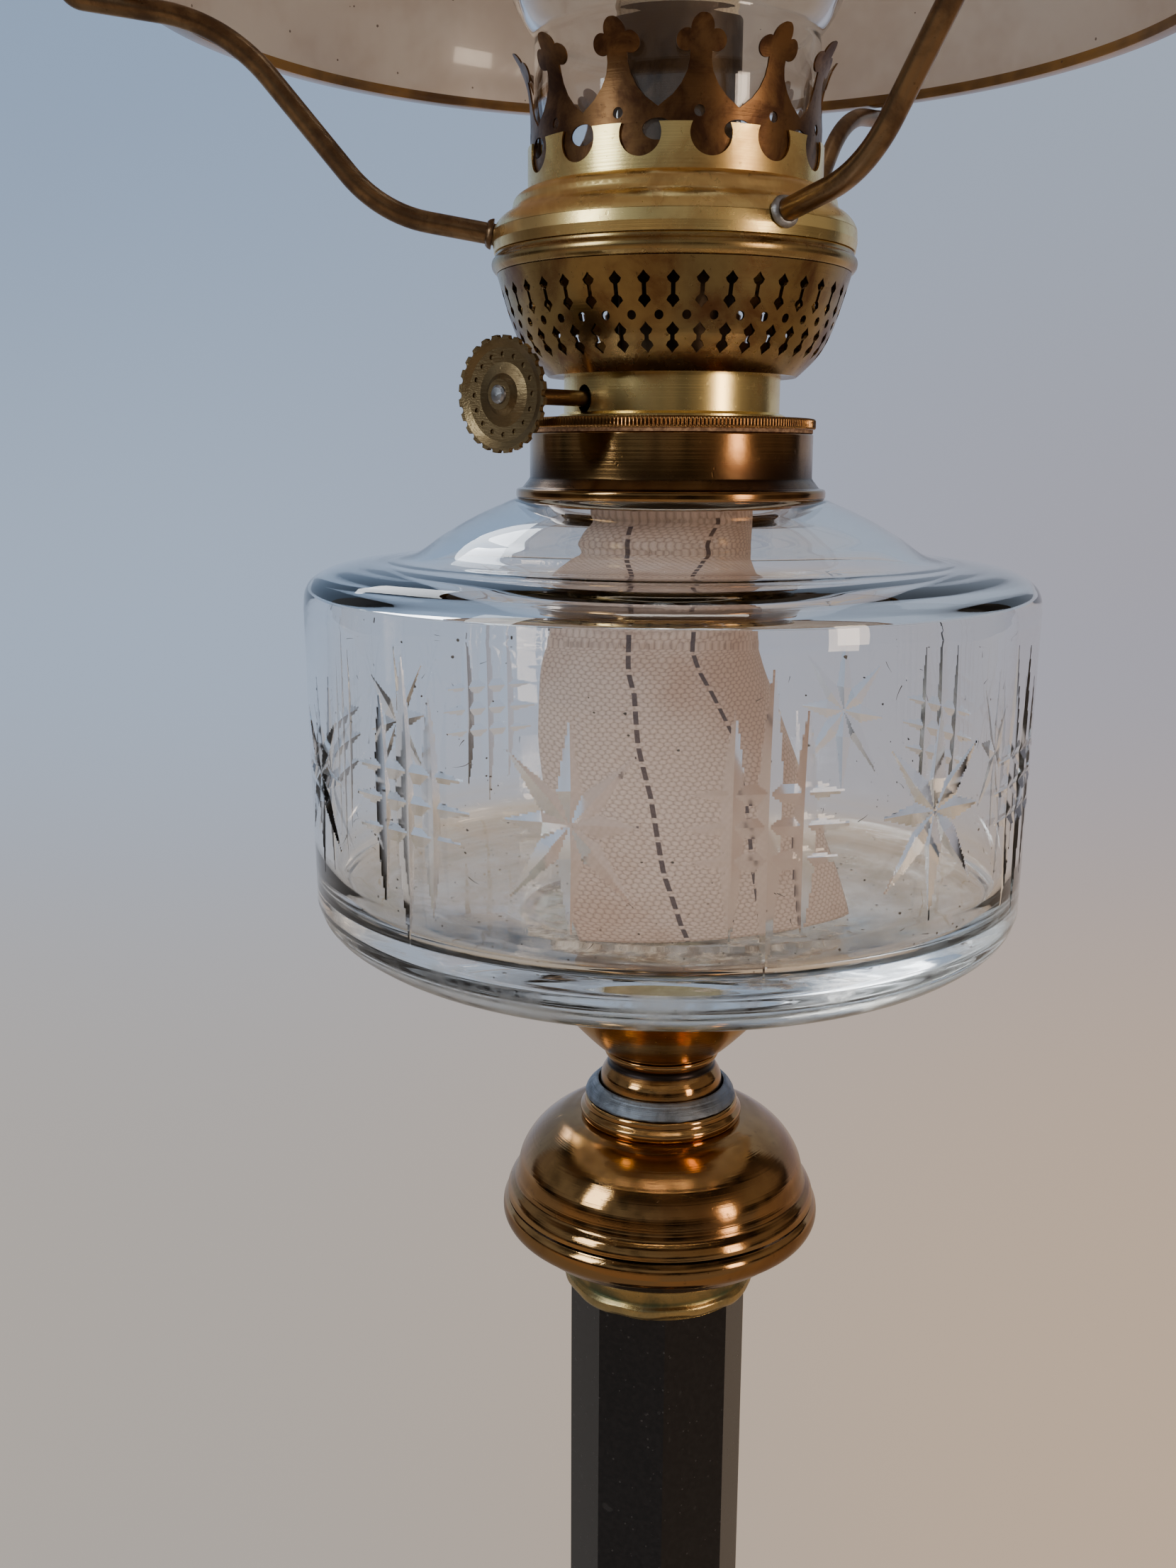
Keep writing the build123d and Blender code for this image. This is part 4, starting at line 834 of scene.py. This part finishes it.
lower_line = [(4.6, knop_foot + 0.4), (17.6, knop_foot + 0.4)] + smooth_run(
    [(18.2, knop_foot + 0.45), (22.7, knop_foot + 1.2), (27.0, knop_foot + 3.2), (29.7, knop_foot + 5.7)], 6) \
    + smooth_run([(30.0, knop_foot + 6.0), (31.3, knop_foot + 6.7), (32.05, knop_foot + 8.2),
                  (31.95, knop_foot + 10.0), (31.2, knop_foot + 11.1)], 6)
upper_line = smooth_run([(31.25, knop_seam + 0.3), (31.05, knop_seam + 1.2), (30.6, knop_seam + 2.2)], 5) \
    + smooth_run([(30.3, knop_seam + 2.5), (29.6, knop_seam + 3.3), (29.3, knop_seam + 4.3)], 5) \
    + smooth_run([(29.15, knop_seam + 4.7), (28.3, knop_seam + 8.0), (26.4, knop_seam + 11.2),
                  (23.8, knop_seam + 13.8), (20.7, knop_seam + 15.75), (17.9, knop_seam + 16.45)], 8) \
    + [(17.2, knop_top - 0.4), (4.6, knop_top - 0.4)]
turned("knop_lower", sheet(lower_line, 0.8), "stand", "knop_lower_shell", brass_stand, 320)
turned("knop_upper", sheet(upper_line, 0.8), "stand", "knop_upper_shell", brass_stand, 320)
print("knop line points:", len(lower_line), len(upper_line))

# %% Neck, cup and the run of solder
NECK_R = 16.5
neck_shares = [(0.98, 0.0), (1.0, 0.06), (1.0, 0.12), (0.95, 0.18), (0.945, 0.25), (0.93, 0.28),
               (0.775, 0.29), (0.755, 0.4), (0.757, 0.52), (0.735, 0.64), (0.685, 0.74), (0.645, 0.79),
               (0.643, 0.84), (0.67, 0.88), (0.70, 0.93), (0.71, 0.97), (0.70, 1.0)]
neck_outline = [(4.1, knop_top)] + scaled(neck_shares, NECK_R, cup_foot - knop_top, knop_top) + [(4.1, cup_foot)]
turned("neck_turned", eased(neck_outline, 0.35), "stand", "neck", brass_stand)
CUP_R, CUP_H = 29.0, fount_foot - cup_foot
cup_shares = [(0.4, 0.045), (0.43, 0.07), (0.47, 0.12), (0.55, 0.24), (0.66, 0.42), (0.78, 0.64), (0.9, 0.86),
              (0.98, 0.985)]
cup_line = scaled([(0.172, 0.026), (0.375, 0.026)], CUP_R, CUP_H, cup_foot)
cup_line += smooth_run(scaled(cup_shares, CUP_R, CUP_H, cup_foot), 6)
brass_cup = metal("brass_cup", (0.66, 0.37, 0.09, 1), (0.44, 0.20, 0.05, 1), (0.05, 0.03, 0.02, 1),
                  50, 0.6, 0.8, 0.5, 0.15)
turned("cup_spun", sheet(cup_line, 0.95), "stand", "fount_cup", brass_cup)
solder_shares = [(0.79, 0.295), (0.935, 0.295), (0.925, 0.35), (0.88, 0.43), (0.81, 0.51), (0.775, 0.51),
                 (0.775, 0.42)]
solder_outline = scaled(solder_shares, NECK_R, cup_foot - knop_top, knop_top)


def lumps(radius, azimuth, height):
    """Solder runs and freezes in drops."""
    wave = sum(np.sin(np.radians(azimuth * k + 37 * k * k)) / k**0.7 for k in (3, 5, 8, 13, 21, 34))
    out = np.clip((radius - 12.9) / 2.4, 0, 1)
    return radius + out * 0.2 * wave, height + out * 0.15 * np.roll(wave, 7)


smear = turned("neck_solder_smear", eased(solder_outline, 0.4), "stand", "neck_solder", solder, 512)
reshape(smear, lumps)
print("solder points:", len(smear.data.vertices))

# %% [markdown]
# ## Fount of cut glass
# The fount is one heavy blown and pressed vessel. Its ornament was cut with a wheel: each cut is
# a groove with two flat sides that is deepest in its middle and runs out to points. Seven stars
# of eight cuts stand between seven crossed grids. A bump would not bend the light as a real groove
# does, so the outer wall gets about half a millimetre between its points, and the grooves are
# sunk into it.

# %% Depth of the cuts on the unrolled wall
STAR_RAYS = [(0, 17.2, 2.0, 0.32), (180, 18.6, 2.0, 0.32), (90, 11.6, 1.9, 0.42), (270, 11.6, 1.9, 0.42),
             (43, 15.4, 1.95, 0.34), (317, 15.4, 1.95, 0.34), (141, 16.8, 1.95, 0.34), (219, 16.8, 1.95, 0.34)]
GRID_CUTS = [(-5.8, 0.0, 0, 18.4, 2.0), (0.0, 0.0, 0, 24.8, 2.1), (5.8, 0.0, 0, 18.4, 2.0),
             (0.0, -5.3, 90, 12.8, 1.75), (0.0, 0.0, 90, 14.2, 1.75), (0.0, 5.3, 90, 12.8, 1.75)]
FIRST_STAR, FIRST_GRID, PITCH = -12.3, 13.4, 360 / 7
CUT_LEVEL = fount_foot + 43.0
SLOPE = 0.36


def star_depth(across, up):
    deepest = np.zeros_like(across)
    for turn, length, half_width, peak in STAR_RAYS:
        along = (across * sin(radians(turn)) + up * cos(radians(turn))) / length
        aside = np.abs(across * cos(radians(turn)) - up * sin(radians(turn)))
        swell = np.minimum((along + 0.04) / peak, (1 - along) / (1 - peak))
        deepest = np.maximum(deepest, SLOPE * (half_width * swell - aside))
    return deepest


def grid_depth(across, up):
    deepest = np.zeros_like(across)
    for x, y, turn, half_length, half_width in GRID_CUTS:
        along = ((across - x) * sin(radians(turn)) + (up - y) * cos(radians(turn))) / half_length
        aside = np.abs((across - x) * cos(radians(turn)) - (up - y) * sin(radians(turn)))
        deepest = np.maximum(deepest, SLOPE * (half_width * (1 - along**2) - aside))
    return deepest


def cut_depth(radius, azimuth, height):
    """Depth of the cuts at points of the plain outer wall."""
    depth = np.zeros_like(radius)
    for k in range(7):
        for start, motif in ((FIRST_STAR, star_depth), (FIRST_GRID, grid_depth)):
            away = (azimuth - start - k * PITCH + 180) % 360 - 180
            near = (np.abs(away) < 20) & (radius > 67.0) & (np.abs(height - CUT_LEVEL) < 26)
            depth[near] = np.maximum(depth[near], motif(np.radians(away[near]) * radius[near],
                                                        height[near] - CUT_LEVEL))
    return depth


def wall_cuts(radius, azimuth, height):
    """Sink the cuts into the outer wall, and let the inner one wave as blown glass does."""
    depth = cut_depth(radius, azimuth, height)
    inner = (radius < 66.5) & (radius > 20) & (height > fount_foot + 15.5)
    wave = np.sin(np.radians(azimuth * 2 + 30)) * np.sin(height / 13)
    wave += 0.5 * np.sin(np.radians(azimuth * 5)) * np.sin(height / 7 + 1)
    return radius - depth + inner * 0.12 * wave, height


upright = star_depth(np.zeros(50), np.linspace(-18, 18, 50))
print("deepest cut of a star:", round(float(upright.max()), 2), "mm")

# %% [markdown]
# A cut's two sides are flat, and glass shows it: each bends the light one way all over. A mesh
# shades its corners with an average of the faces around them, which would blur every edge. So
# the direction of each flat is worked out from the depth, and given to the faces that lie on it.

# %% True directions of the flats
def facet_normals(made, step=0.02):
    mesh = made.data
    corner = np.empty(len(mesh.loops), int)
    mesh.loops.foreach_get("vertex_index", corner)
    total = np.empty(len(mesh.polygons), int)
    mesh.polygons.foreach_get("loop_total", total)
    middle = table(mesh.polygons, "center")
    reach, azimuth = polar(middle)
    height = middle[:, 2]
    wall = (reach > 66.8) & (height > cut_zone[0]) & (height < cut_zone[-1])
    radius = np.interp(height, side_levels, side_radii)
    turn = np.degrees(step / radius)
    aside = cut_depth(radius, azimuth + turn, height) - cut_depth(radius, azimuth - turn, height)
    up = cut_depth(radius, azimuth, height + step) - cut_depth(radius, azimuth, height - step)
    aside, up = aside / (2 * step), up / (2 * step)
    lean = (side_radii[1] - side_radii[0]) / (side_levels[1] - side_levels[0])
    face = np.repeat(np.arange(len(total)), total)
    point = table(mesh.vertices, "co")
    angle = np.arctan2(point[corner, 0], -point[corner, 1])
    out = np.stack([np.sin(angle) + aside[face] * np.cos(angle), -np.cos(angle) + aside[face] * np.sin(angle),
                    up[face] - lean], 1)
    out /= np.linalg.norm(out, axis=1)[:, None]
    out[~wall[face]] = 0
    mesh.normals_split_custom_set(out)
    return wall.sum()


# %% Fount mesh
FOUNT_R, FOUNT_H, WALL = 69.0, collar_foot - fount_foot, 4.3
fount_floor = fount_foot + 15.0
foot_shares = [(0.45, 0.0), (0.6, 0.024), (0.75, 0.048), (0.86, 0.075), (0.93, 0.106), (0.97, 0.137),
               (0.988, 0.172)]
foot_curve = smooth_run(scaled(foot_shares, FOUNT_R, FOUNT_H, fount_foot), 8)
side_levels = np.array([foot_curve[-1][1], fount_foot + 0.785 * FOUNT_H])
side_radii = np.array([foot_curve[-1][0], FOUNT_R])
cut_zone = np.arange(CUT_LEVEL - 25.2, min(CUT_LEVEL + 25.2, side_levels[1] - 0.4), 0.4)
plain_rows = [z for z in np.arange(side_levels[0] + 0.9, side_levels[1] - 0.3, 0.9)
              if z < cut_zone[0] - 0.2 or z > cut_zone[-1] + 0.2]
side = [(np.interp(z, side_levels, side_radii), z) for z in sorted(plain_rows + list(cut_zone))]
shoulder_shares = [(1.0, 0.785), (0.995, 0.815), (0.975, 0.838), (0.93, 0.857), (0.87, 0.868), (0.79, 0.875)]
dome_shares = [(0.79, 0.875), (0.7, 0.885), (0.617, 0.926), (0.52, 0.967), (0.42, 1.0)]
shoulder = smooth_run(scaled(shoulder_shares, FOUNT_R, FOUNT_H, fount_foot), 6)
dome = smooth_run(scaled(dome_shares, FOUNT_R, FOUNT_H, fount_foot), 10)


def inward(line, wall):
    """A line of points moved to its inner side."""
    points = np.array(line, float)
    along = np.gradient(points, axis=0)
    along /= np.linalg.norm(along, axis=1)[:, None]
    return [tuple(p) for p in points + wall * np.stack([-along[:, 1], along[:, 0]], 1)]


inner_roof = inward(shoulder[:-1] + dome, WALL)
inner_roof = [p for p in inner_roof if p[0] > 20.8]
inner_foot = smooth_run(scaled([(0.75, 0.0), (0.885, 0.012), (0.98, 0.04), (1.0, 0.1)], FOUNT_R - WALL, FOUNT_H,
                               fount_floor), 8)
inner_side = [(FOUNT_R - WALL, z) for z in np.arange(inner_foot[-1][1] + 3, inner_roof[0][1] - 1.5, 3.0)]
neck_top = collar_foot + 5.0
fount_outline = (
    [(0.0, fount_foot - 10), (11.5, fount_foot - 10), (11.8, fount_foot - 9.7), (11.8, fount_foot - 0.1),
     (20.0, fount_foot)] + foot_curve + side + shoulder[:-1] + dome
    + [(24.2, collar_foot + 0.4), (24.2, neck_top - 0.3), (23.9, neck_top), (20.9, neck_top),
       (20.6, neck_top - 0.3), (20.6, inner_roof[-1][1] + 0.6)]
    + inner_roof[::-1] + inner_side[::-1] + inner_foot[::-1]
    + [(30.0, fount_floor), (12.0, fount_floor), (0.0, fount_floor)])
fount = turned("fount_cut_glass", fount_outline, "stand", "fount_glass", fount_clear, 1200, 50)
points = table(fount.data.vertices, "co")
depth = cut_depth(*polar(points), points[:, 2])
ground = fount.data.attributes.new("ground", "FLOAT", "POINT")
ground.data.foreach_set("value", np.clip(depth / 0.08, 0, 1).astype(np.float32))
reshape(fount, wall_cuts)
facet_normals(fount)
print("fount points:", len(fount.data.vertices))

# %% [markdown]
# ## Chimney and shade
# The chimney is thin clear glass, blown into a straight foot, a bulge for the flame and a long
# narrow top. The shade is a dome of white glass dipped in amber: its inner faces take the opal
# finish, its outer ones the amber, and its cut rim shows both layers as a darker band.

# %% Chimney
def chimney_line():
    height = chimney_top - chimney_foot
    foot, bulge, narrow, mouth = 24.8, 32.2, 21.2, 19.2
    swell = [(0, 0.105), (0, 0.115), (0.3, 0.129), (0.55, 0.145), (0.8, 0.172), (1, 0.21)]
    draw_in = [(0.93, 0.25), (0.68, 0.3), (0.35, 0.345), (0.1, 0.385), (0, 0.43)]
    curve = [(foot + (bulge - foot) * out, chimney_foot + height * up) for out, up in swell]
    curve += [(narrow + (bulge - narrow) * out, chimney_foot + height * up) for out, up in draw_in]
    straight = [(foot, z) for z in np.linspace(chimney_foot, curve[0][1], 8)[:-1]]
    top = [(np.interp(z, [curve[-1][1], chimney_top], [narrow, mouth]), z)
           for z in np.linspace(curve[-1][1], chimney_top, 20)[1:]]
    return straight + smooth_run(curve, 8) + top


chimney = turned("chimney_blown", eased(sheet(chimney_line(), 1.5), 0.3), "chimney", "chimney", chimney_clear,
                 256, 60)
reshape(chimney, lambda r, a, z: (r + 0.10 * np.sin(np.radians(a * 2 + z)) * np.sin(z / 17), z))
print("chimney points:", len(chimney.data.vertices))

# %% Shade
SHADE_R = 96.2
shade_shares = [(1.0, 0.0), (1.0, 0.03), (0.985, 0.14), (0.935, 0.31), (0.84, 0.5), (0.71, 0.68), (0.57, 0.82),
                (0.46, 0.905), (0.41, 0.955), (0.4, 1.0)]
shade_line = smooth_run(scaled(shade_shares, SHADE_R, shade_top - shade_foot, shade_foot), 10)
shade = turned("shade_dome", eased(sheet(shade_line, 2.9), 0.8), "shade", "shade", opal, 384, 60)
shade.data.materials.append(amber)
shade.data.materials.append(amber_rim)
middle = np.array(shade_line)
for face in shade.data.polygons:
    across = sqrt(face.center.x**2 + face.center.y**2) / MM
    up = face.center.z / MM
    if up < shade_foot + 1.9:
        face.material_index = 2
    elif across > np.interp(up, middle[:, 1], middle[:, 0]) + 0.3:
        face.material_index = 1
print("shade faces:", len(shade.data.polygons))

# %% [markdown]
# ## Burner rings
# The collar and the milled ring are turned; the ring's edge was rolled against a wheel that left
# two hundred and forty fine ridges, which is what fingers grip when the burner is unscrewed.

# %% Collar, milled ring and rolled rim
flange = collar_foot
collar_outline = [
    (25.2, flange), (28.9, flange), (29.1, flange + 0.3), (29.1, flange + 1.3), (28.9, flange + 1.7),
    (27.9, flange + 1.9), (27.5, flange + 2.4), (26.8, flange + 3.3), (26.5, flange + 3.7),
    (26.5, collar_top - 0.3), (26.2, collar_top), (24.4, collar_top), (24.4, flange + 5.6),
    (25.2, flange + 5.6)]
turned("collar_turned", eased(collar_outline, 0.22), "stand", "fount_collar", brass_collar)
base_low = span("burner_base")[0]
base_outline = [
    (24.1, base_low), (24.1, base_foot), (26.6, base_foot), (26.9, base_foot + 0.3), (26.9, base_foot + 1.7),
    (26.6, base_foot + 2.0), (25.8, base_foot + 2.05), (25.4, base_foot + 1.85), (21.4, base_foot + 2.0),
    (11.75, base_foot + 2.0), (11.75, base_foot), (22.7, base_foot), (22.7, base_low)]
RIDGES = 240


def milled(radius, azimuth, height):
    ridge = 0.5 + 0.5 * np.cos(np.radians(azimuth * RIDGES))
    edge = (radius > 26.4) & (height > base_foot + 0.15)
    return radius - edge * 0.34 * ridge, height


ring = turned("milled_ring", eased(base_outline, 0.15), "burner", "burner_base", brass_collar,
              1440, 60)
reshape(ring, milled)
rim_outline = [(30.8, rim_foot), (32.6, rim_foot), (33.25, rim_foot + 0.8), (33.4, rim_foot + 1.6),
               (33.25, rim_foot + 2.3), (32.75, rim_foot + 2.8), (32.67, rim_top), (30.8, rim_top)]
turned("basket_rim_rolled", eased(rim_outline, 0.3), "burner", "basket_rim", brass_basket,
       320)
print("ring points:", len(ring.data.vertices))

# %% [markdown]
# ## Wick
# A flat woven wick is nearly sixty millimetres wide. The burner curls it into a ring between two
# tubes, and below the burner it opens again and stands on the glass floor as a curved band. Both
# parts are modelled as one layer of cloth with a thickness, with thread coordinates in
# millimetres, so that the weave keeps its size wherever the cloth goes.

# %% Cloth from a grid of points
def cloth_piece(name, grid, size, body, thickness):
    """A sheet through a grid of points, in millimetres, with thread coordinates."""
    rows, cols = grid.shape[:2]
    faces = grid_faces(rows, cols, closed_cols=False)
    made = join_piece(name, grid.reshape(-1, 3), faces.tolist(), body, 80)
    layer = made.data.uv_layers.new(name="threads")
    across, along = np.meshgrid(np.linspace(0, size[0], cols), np.linspace(0, size[1], rows))
    spread = np.stack([across.ravel(), along.ravel()], 1)
    loops = np.empty(len(made.data.loops), int)
    made.data.loops.foreach_get("vertex_index", loops)
    layer.data.foreach_set("uv", spread[loops].astype(np.float32).ravel())
    thick = made.modifiers.new("thickness", "SOLIDIFY")
    thick.thickness = thickness * MM
    thick.offset = 0
    return made


TAIL = [(0.0, 1.0, 113.0, 0.0, 0.0), (0.04, 1.12, 96.0, 0.0, 0.0), (0.08, 1.32, 80.0, 0.0, 0.0),
        (0.12, 1.5, 64.0, 0.0, 0.0), (0.17, 1.6, 50.0, -0.015, 0.0), (0.24, 1.7, 40.0, -0.03, 0.01),
        (0.34, 1.9, 30.0, -0.045, 0.03), (0.46, 2.15, 22.0, -0.057, 0.055), (0.6, 2.6, 20.0, -0.055, 0.06),
        (0.76, 3.2, 22.0, -0.05, 0.056), (0.9, 4.2, 25.0, -0.08, -0.03), (1.0, 5.0, 26.6, -0.108, -0.11)]
BAND = 57.0
WICK_R = 10.15
COTTON = 1.5
SLIT_SIDE, SLIT_TOP = -67, 463.0
SLIT_HALF, SEAM_HALF = 3.85, 0.4
tail_length = tail_top - tail_foot


def band_point(share_across, share_down):
    """Point of the band's middle layer, in millimetres, and its outward direction."""
    table = np.array(TAIL)
    size, azimuth, right, front = (np.interp(share_down, table[:, 0], table[:, k]) for k in (1, 2, 3, 4))
    radius = WICK_R * size
    angle = np.radians(azimuth + np.degrees(BAND / radius) * (share_across - 0.5))
    out = np.stack([np.sin(angle), -np.cos(angle), np.zeros_like(angle)], -1)
    centre = np.stack([tail_length * right + 0 * angle, -tail_length * front + 0 * angle,
                       tail_top - tail_length * share_down + 0 * angle], -1)
    return centre + out * radius[..., None], out


u, v = np.meshgrid(np.linspace(0, 1, 90), np.linspace(0, 1, 130))
grid, outwards = band_point(u, v)
soft = np.stack([np.convolve(np.pad(grid[:, c, k], 4, "edge"), np.ones(9) / 9, "valid")
                 for c in range(grid.shape[1]) for k in range(3)], 1).reshape(grid.shape[0], grid.shape[1], 3)
grid = 0.7 * soft + 0.3 * grid
grid[:, :, 2] = tail_top - tail_length * v
ripple = 0.25 * np.sin(u * 9 + v * 5) * np.sin(v * 14 + 2) * v
grid = grid + outwards * ripple[..., None]
band = cloth_piece("wick_band", grid, (BAND, tail_length * 1.02), None, COTTON)
band.data.materials.append(wick_cotton)
MARKERS = {"marker_one": [(0, 0.06), (0.14, 0.135), (0.34, 0.27), (0.5, 0.335), (0.7, 0.337), (0.85, 0.315),
                          (1, 0.325)],
           "marker_two": [(0, 0.38), (0.15, 0.416), (0.33, 0.472), (0.42, 0.497), (0.5, 0.573), (0.59, 0.645),
                          (0.7, 0.64), (0.85, 0.6), (1, 0.57)]}
for line, places in MARKERS.items():
    path = np.array(places)
    aside = (u - np.interp(v, path[:, 0], path[:, 1])) * BAND
    marker = band.data.attributes.new(line, "FLOAT", "POINT")
    marker.data.foreach_set("value", aside.ravel().astype(np.float32))
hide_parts("wick_tail")
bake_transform(band)
print("band points:", len(band.data.vertices))

# %% Ring of the wick, with a fluffy head
u, v = np.meshgrid(np.linspace(0, 1, 200), np.linspace(0, 1, 110))
z = wick_top - 0.5 - (wick_top - 0.5 - wick_foot) * v
half_gap = np.interp(z, [SLIT_TOP, SLIT_TOP + 5.0], np.degrees([SLIT_HALF / WICK_R, SEAM_HALF / WICK_R]))
angle = np.radians(SLIT_SIDE + half_gap + (360 - 2 * half_gap) * u)
rng = np.random.default_rng(14)
frayed = np.clip(1 - v * 40, 0, 1) * (0.35 * np.sin(u * 61) + rng.normal(0, 0.18, u.shape))
ring_grid = np.stack([WICK_R * np.sin(angle), -WICK_R * np.cos(angle), z + frayed], -1)
head = cloth_piece("wick_ring", ring_grid, (63.0, wick_top - wick_foot), "wick", COTTON)
head.data.materials.append(wick_head)
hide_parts("wick")
print("ring points:", len(head.data.vertices))

# %% [markdown]
# Where the wick has burned and been trimmed, its threads end in a soft fuzz. Nine hundred short
# bent fibres stand on the head of the ring; they are what makes its edge look like cotton.

# %% Bent fibres on the head of the wick
def fibre(start, way, length, thick, bend):
    """Points and faces of one bent fibre with three sides."""
    way = np.array(way, float) / np.linalg.norm(way)
    side_way = np.cross(way, [0.31, 0.52, 0.8])
    side_way /= np.linalg.norm(side_way)
    other = np.cross(way, side_way)
    points, faces = [], []
    for k in range(5):
        t = k / 4
        middle_point = np.array(start) + way * length * t + bend * length * t * t * side_way
        wide = thick * (1 - 0.7 * t)
        for turn in (0.0, 2.094, 4.189):
            points.append(middle_point + wide * (cos(turn) * side_way + sin(turn) * other))
    for k in range(4):
        for s in range(3):
            n = (s + 1) % 3
            faces.append((3 * k + s, 3 * k + n, 3 * k + 3 + n, 3 * k + 3 + s))
    return points, faces + [(0, 2, 1), (12, 13, 14)]


def gather(pieces):
    """One list of points and one of faces from many small ones."""
    points, faces = [], []
    for some_points, some_faces in pieces:
        faces += [tuple(len(points) + i for i in face) for face in some_faces]
        points += [tuple(p) for p in some_points]
    return points, faces


bits = []
for _ in range(900):
    turn = rng.uniform(0, 2 * pi)
    reach = WICK_R + rng.uniform(-0.4, 0.4)
    lean = rng.uniform(-0.3, 0.3, 3)
    bits.append(fibre((reach * cos(turn), reach * sin(turn), wick_top - 0.9 + rng.uniform(0, 0.3)),
                      (lean[0], lean[1], 1.2), rng.uniform(0.5, 1.1), 0.07, rng.uniform(-0.5, 0.5)))
fuzz_piece = join_piece("wick_fuzz", *gather(bits), "wick", 60)
fuzz_piece.data.materials.append(wick_head)
print("fibres:", len(bits))

# %% [markdown]
# ## Soot, lint and dried oil
# A fount that has stood for years has crumbs of char and short hairs stuck to the inside of its
# wall, most of them low down, and dried oil on its floor. They are small, so each is a tiny
# solid of a few faces; they are scattered with a fixed seed, thicker toward the floor.

# %% Crumbs and hairs on the inner wall and the floor
def crumb(middle_point, out, size):
    """An uneven flat crumb that lies on a surface whose outward direction is given."""
    out = np.array(out, float)
    side_way = np.cross(out, [0.2, 0.1, 0.97]) if abs(out[2]) < 0.9 else np.array([1.0, 0, 0])
    side_way /= np.linalg.norm(side_way)
    other = np.cross(out, side_way)
    count = 6
    points = []
    for i in range(count):
        turn = 2 * pi * i / count
        way = cos(turn) * side_way * 1.3 + sin(turn) * other
        points.append(middle_point + size * rng.uniform(0.5, 1.0) * way)
    points += [middle_point + out * 0.3 * size, middle_point - out * 0.12 * size]
    faces = [(i, (i + 1) % count, count) for i in range(count)]
    return points, faces + [((i + 1) % count, i, count + 1) for i in range(count)]


bits = []
for _ in range(230):
    turn = rng.uniform(-pi, pi)
    level = fount_floor + 6 + 52 * rng.uniform(0, 1)**1.8
    out = np.array([sin(turn), -cos(turn), 0])
    at = out * (FOUNT_R - WALL - 0.22) + np.array([0, 0, level])
    if rng.uniform() < 0.72:
        bits.append(crumb(at, -out, rng.uniform(0.14, 0.38)))
    else:
        way = np.cross(out, [0, 0, 1]) * rng.normal() + np.array([0, 0, 1]) * rng.normal()
        bits.append(fibre(at, way, rng.uniform(1.0, 2.6), 0.09, rng.uniform(-0.7, 0.7)))
for _ in range(120):
    turn, reach = rng.uniform(-pi, pi), 58 * sqrt(rng.uniform(0.05, 1))
    at = np.array([reach * sin(turn), -reach * cos(turn), fount_floor + 0.12])
    bits.append(crumb(at, (0, 0, 1), rng.uniform(0.15, 0.5)))
crumbs = join_piece("char_crumbs", *gather(bits), "stand", 60)
crumbs.data.materials.append(fleck)
print("crumbs and hairs:", len(bits))


# %% Dried oil round the foot of the wick
def oil_skin():
    """A thin uneven skin on the floor, widest before the wick."""
    points = []
    rows, cols = 14, 160
    for r in range(rows):
        share = r / (rows - 1)
        for c in range(cols):
            turn = 2 * pi * c / cols
            edge = 33 + 4.5 * sin(2 * turn + 1) + 2.4 * sin(5 * turn) + 1.3 * sin(11 * turn + 2)
            edge += 0.7 * sin(23 * turn)
            swell = 0.05 + 0.28 * (1 - share**4) * (0.7 + 0.3 * sin(9 * turn + 12 * share))
            points.append((4 + edge * share * sin(turn), -24 - edge * share * cos(turn) * 0.92,
                           fount_floor + swell))
    return points, grid_faces(rows, cols).tolist()


skin = join_piece("dried_oil", *oil_skin(), "stand", 60)
skin.data.materials.append(residue)
print("oil skin faces:", len(skin.data.polygons))

# %% [markdown]
# ## Solder at the arms
# Each arm passes into the gallery and is held by a ring of solder that ran and froze there. The
# front one still shows pale metal; the other two have browned.

# %% Lumpy solder rings
ARMS = (-85.0, 33.0, 152.0)
PALE_ARM = 1
ARM_R = 1.95
ARM_FOOT, ARM_BEND, ARM_RISE = 30.5, 53.4, 3.9
RING_AT = 33.1


def solder_ring(azimuth):
    """Points and faces of the ring round one arm, where it leaves the gallery."""
    out = Vector((sin(radians(azimuth)), -cos(radians(azimuth)), 0))
    slope = ARM_RISE / (ARM_BEND - ARM_FOOT)
    along = (out + Vector((0, 0, slope))).normalized()
    start = out * RING_AT + Vector((0, 0, gallery_foot + 3.0 + slope * (RING_AT - ARM_FOOT)))
    side_way = along.cross(Vector((0, 0, 1))).normalized()
    up_way = side_way.cross(along)
    points = []
    rings = [(ARM_R, 1.15), (2.2, 1.1), (2.5, 0.75), (2.7, 0.3), (2.7, 0.05), (ARM_R, 0.02)]
    count = 48
    for reach, forward in rings:
        for i in range(count):
            t = 2 * pi * i / count
            lump = 1 + 0.06 * sin(3 * t + azimuth) + 0.05 * sin(7 * t)
            wide = ARM_R + (reach - ARM_R) * lump
            points.append(start + along * forward * lump + side_way * wide * cos(t) + up_way * wide * sin(t))
    return points, grid_faces(len(rings), count, closed_rows=True).tolist()


all_points, all_faces = gather([solder_ring(azimuth) for azimuth in ARMS])
pale_solder = metal("pale_solder", (0.46, 0.46, 0.47, 1), (0.22, 0.20, 0.18, 1), (0.05, 0.04, 0.035, 1),
                    400, 0.8, 0.7, 0.3, 0.40, 0.0001)
rings = join_piece("arm_solder_rings", all_points, all_faces, "gallery", 60)
rings.data.materials.append(pale_solder)
rings.data.materials.append(brass_arm)
for index, face in enumerate(rings.data.polygons):
    face.material_index = 0 if index // (len(all_faces) // len(ARMS)) == PALE_ARM else 1
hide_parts("arm_solder")
print("solder rings:", len(ARMS))
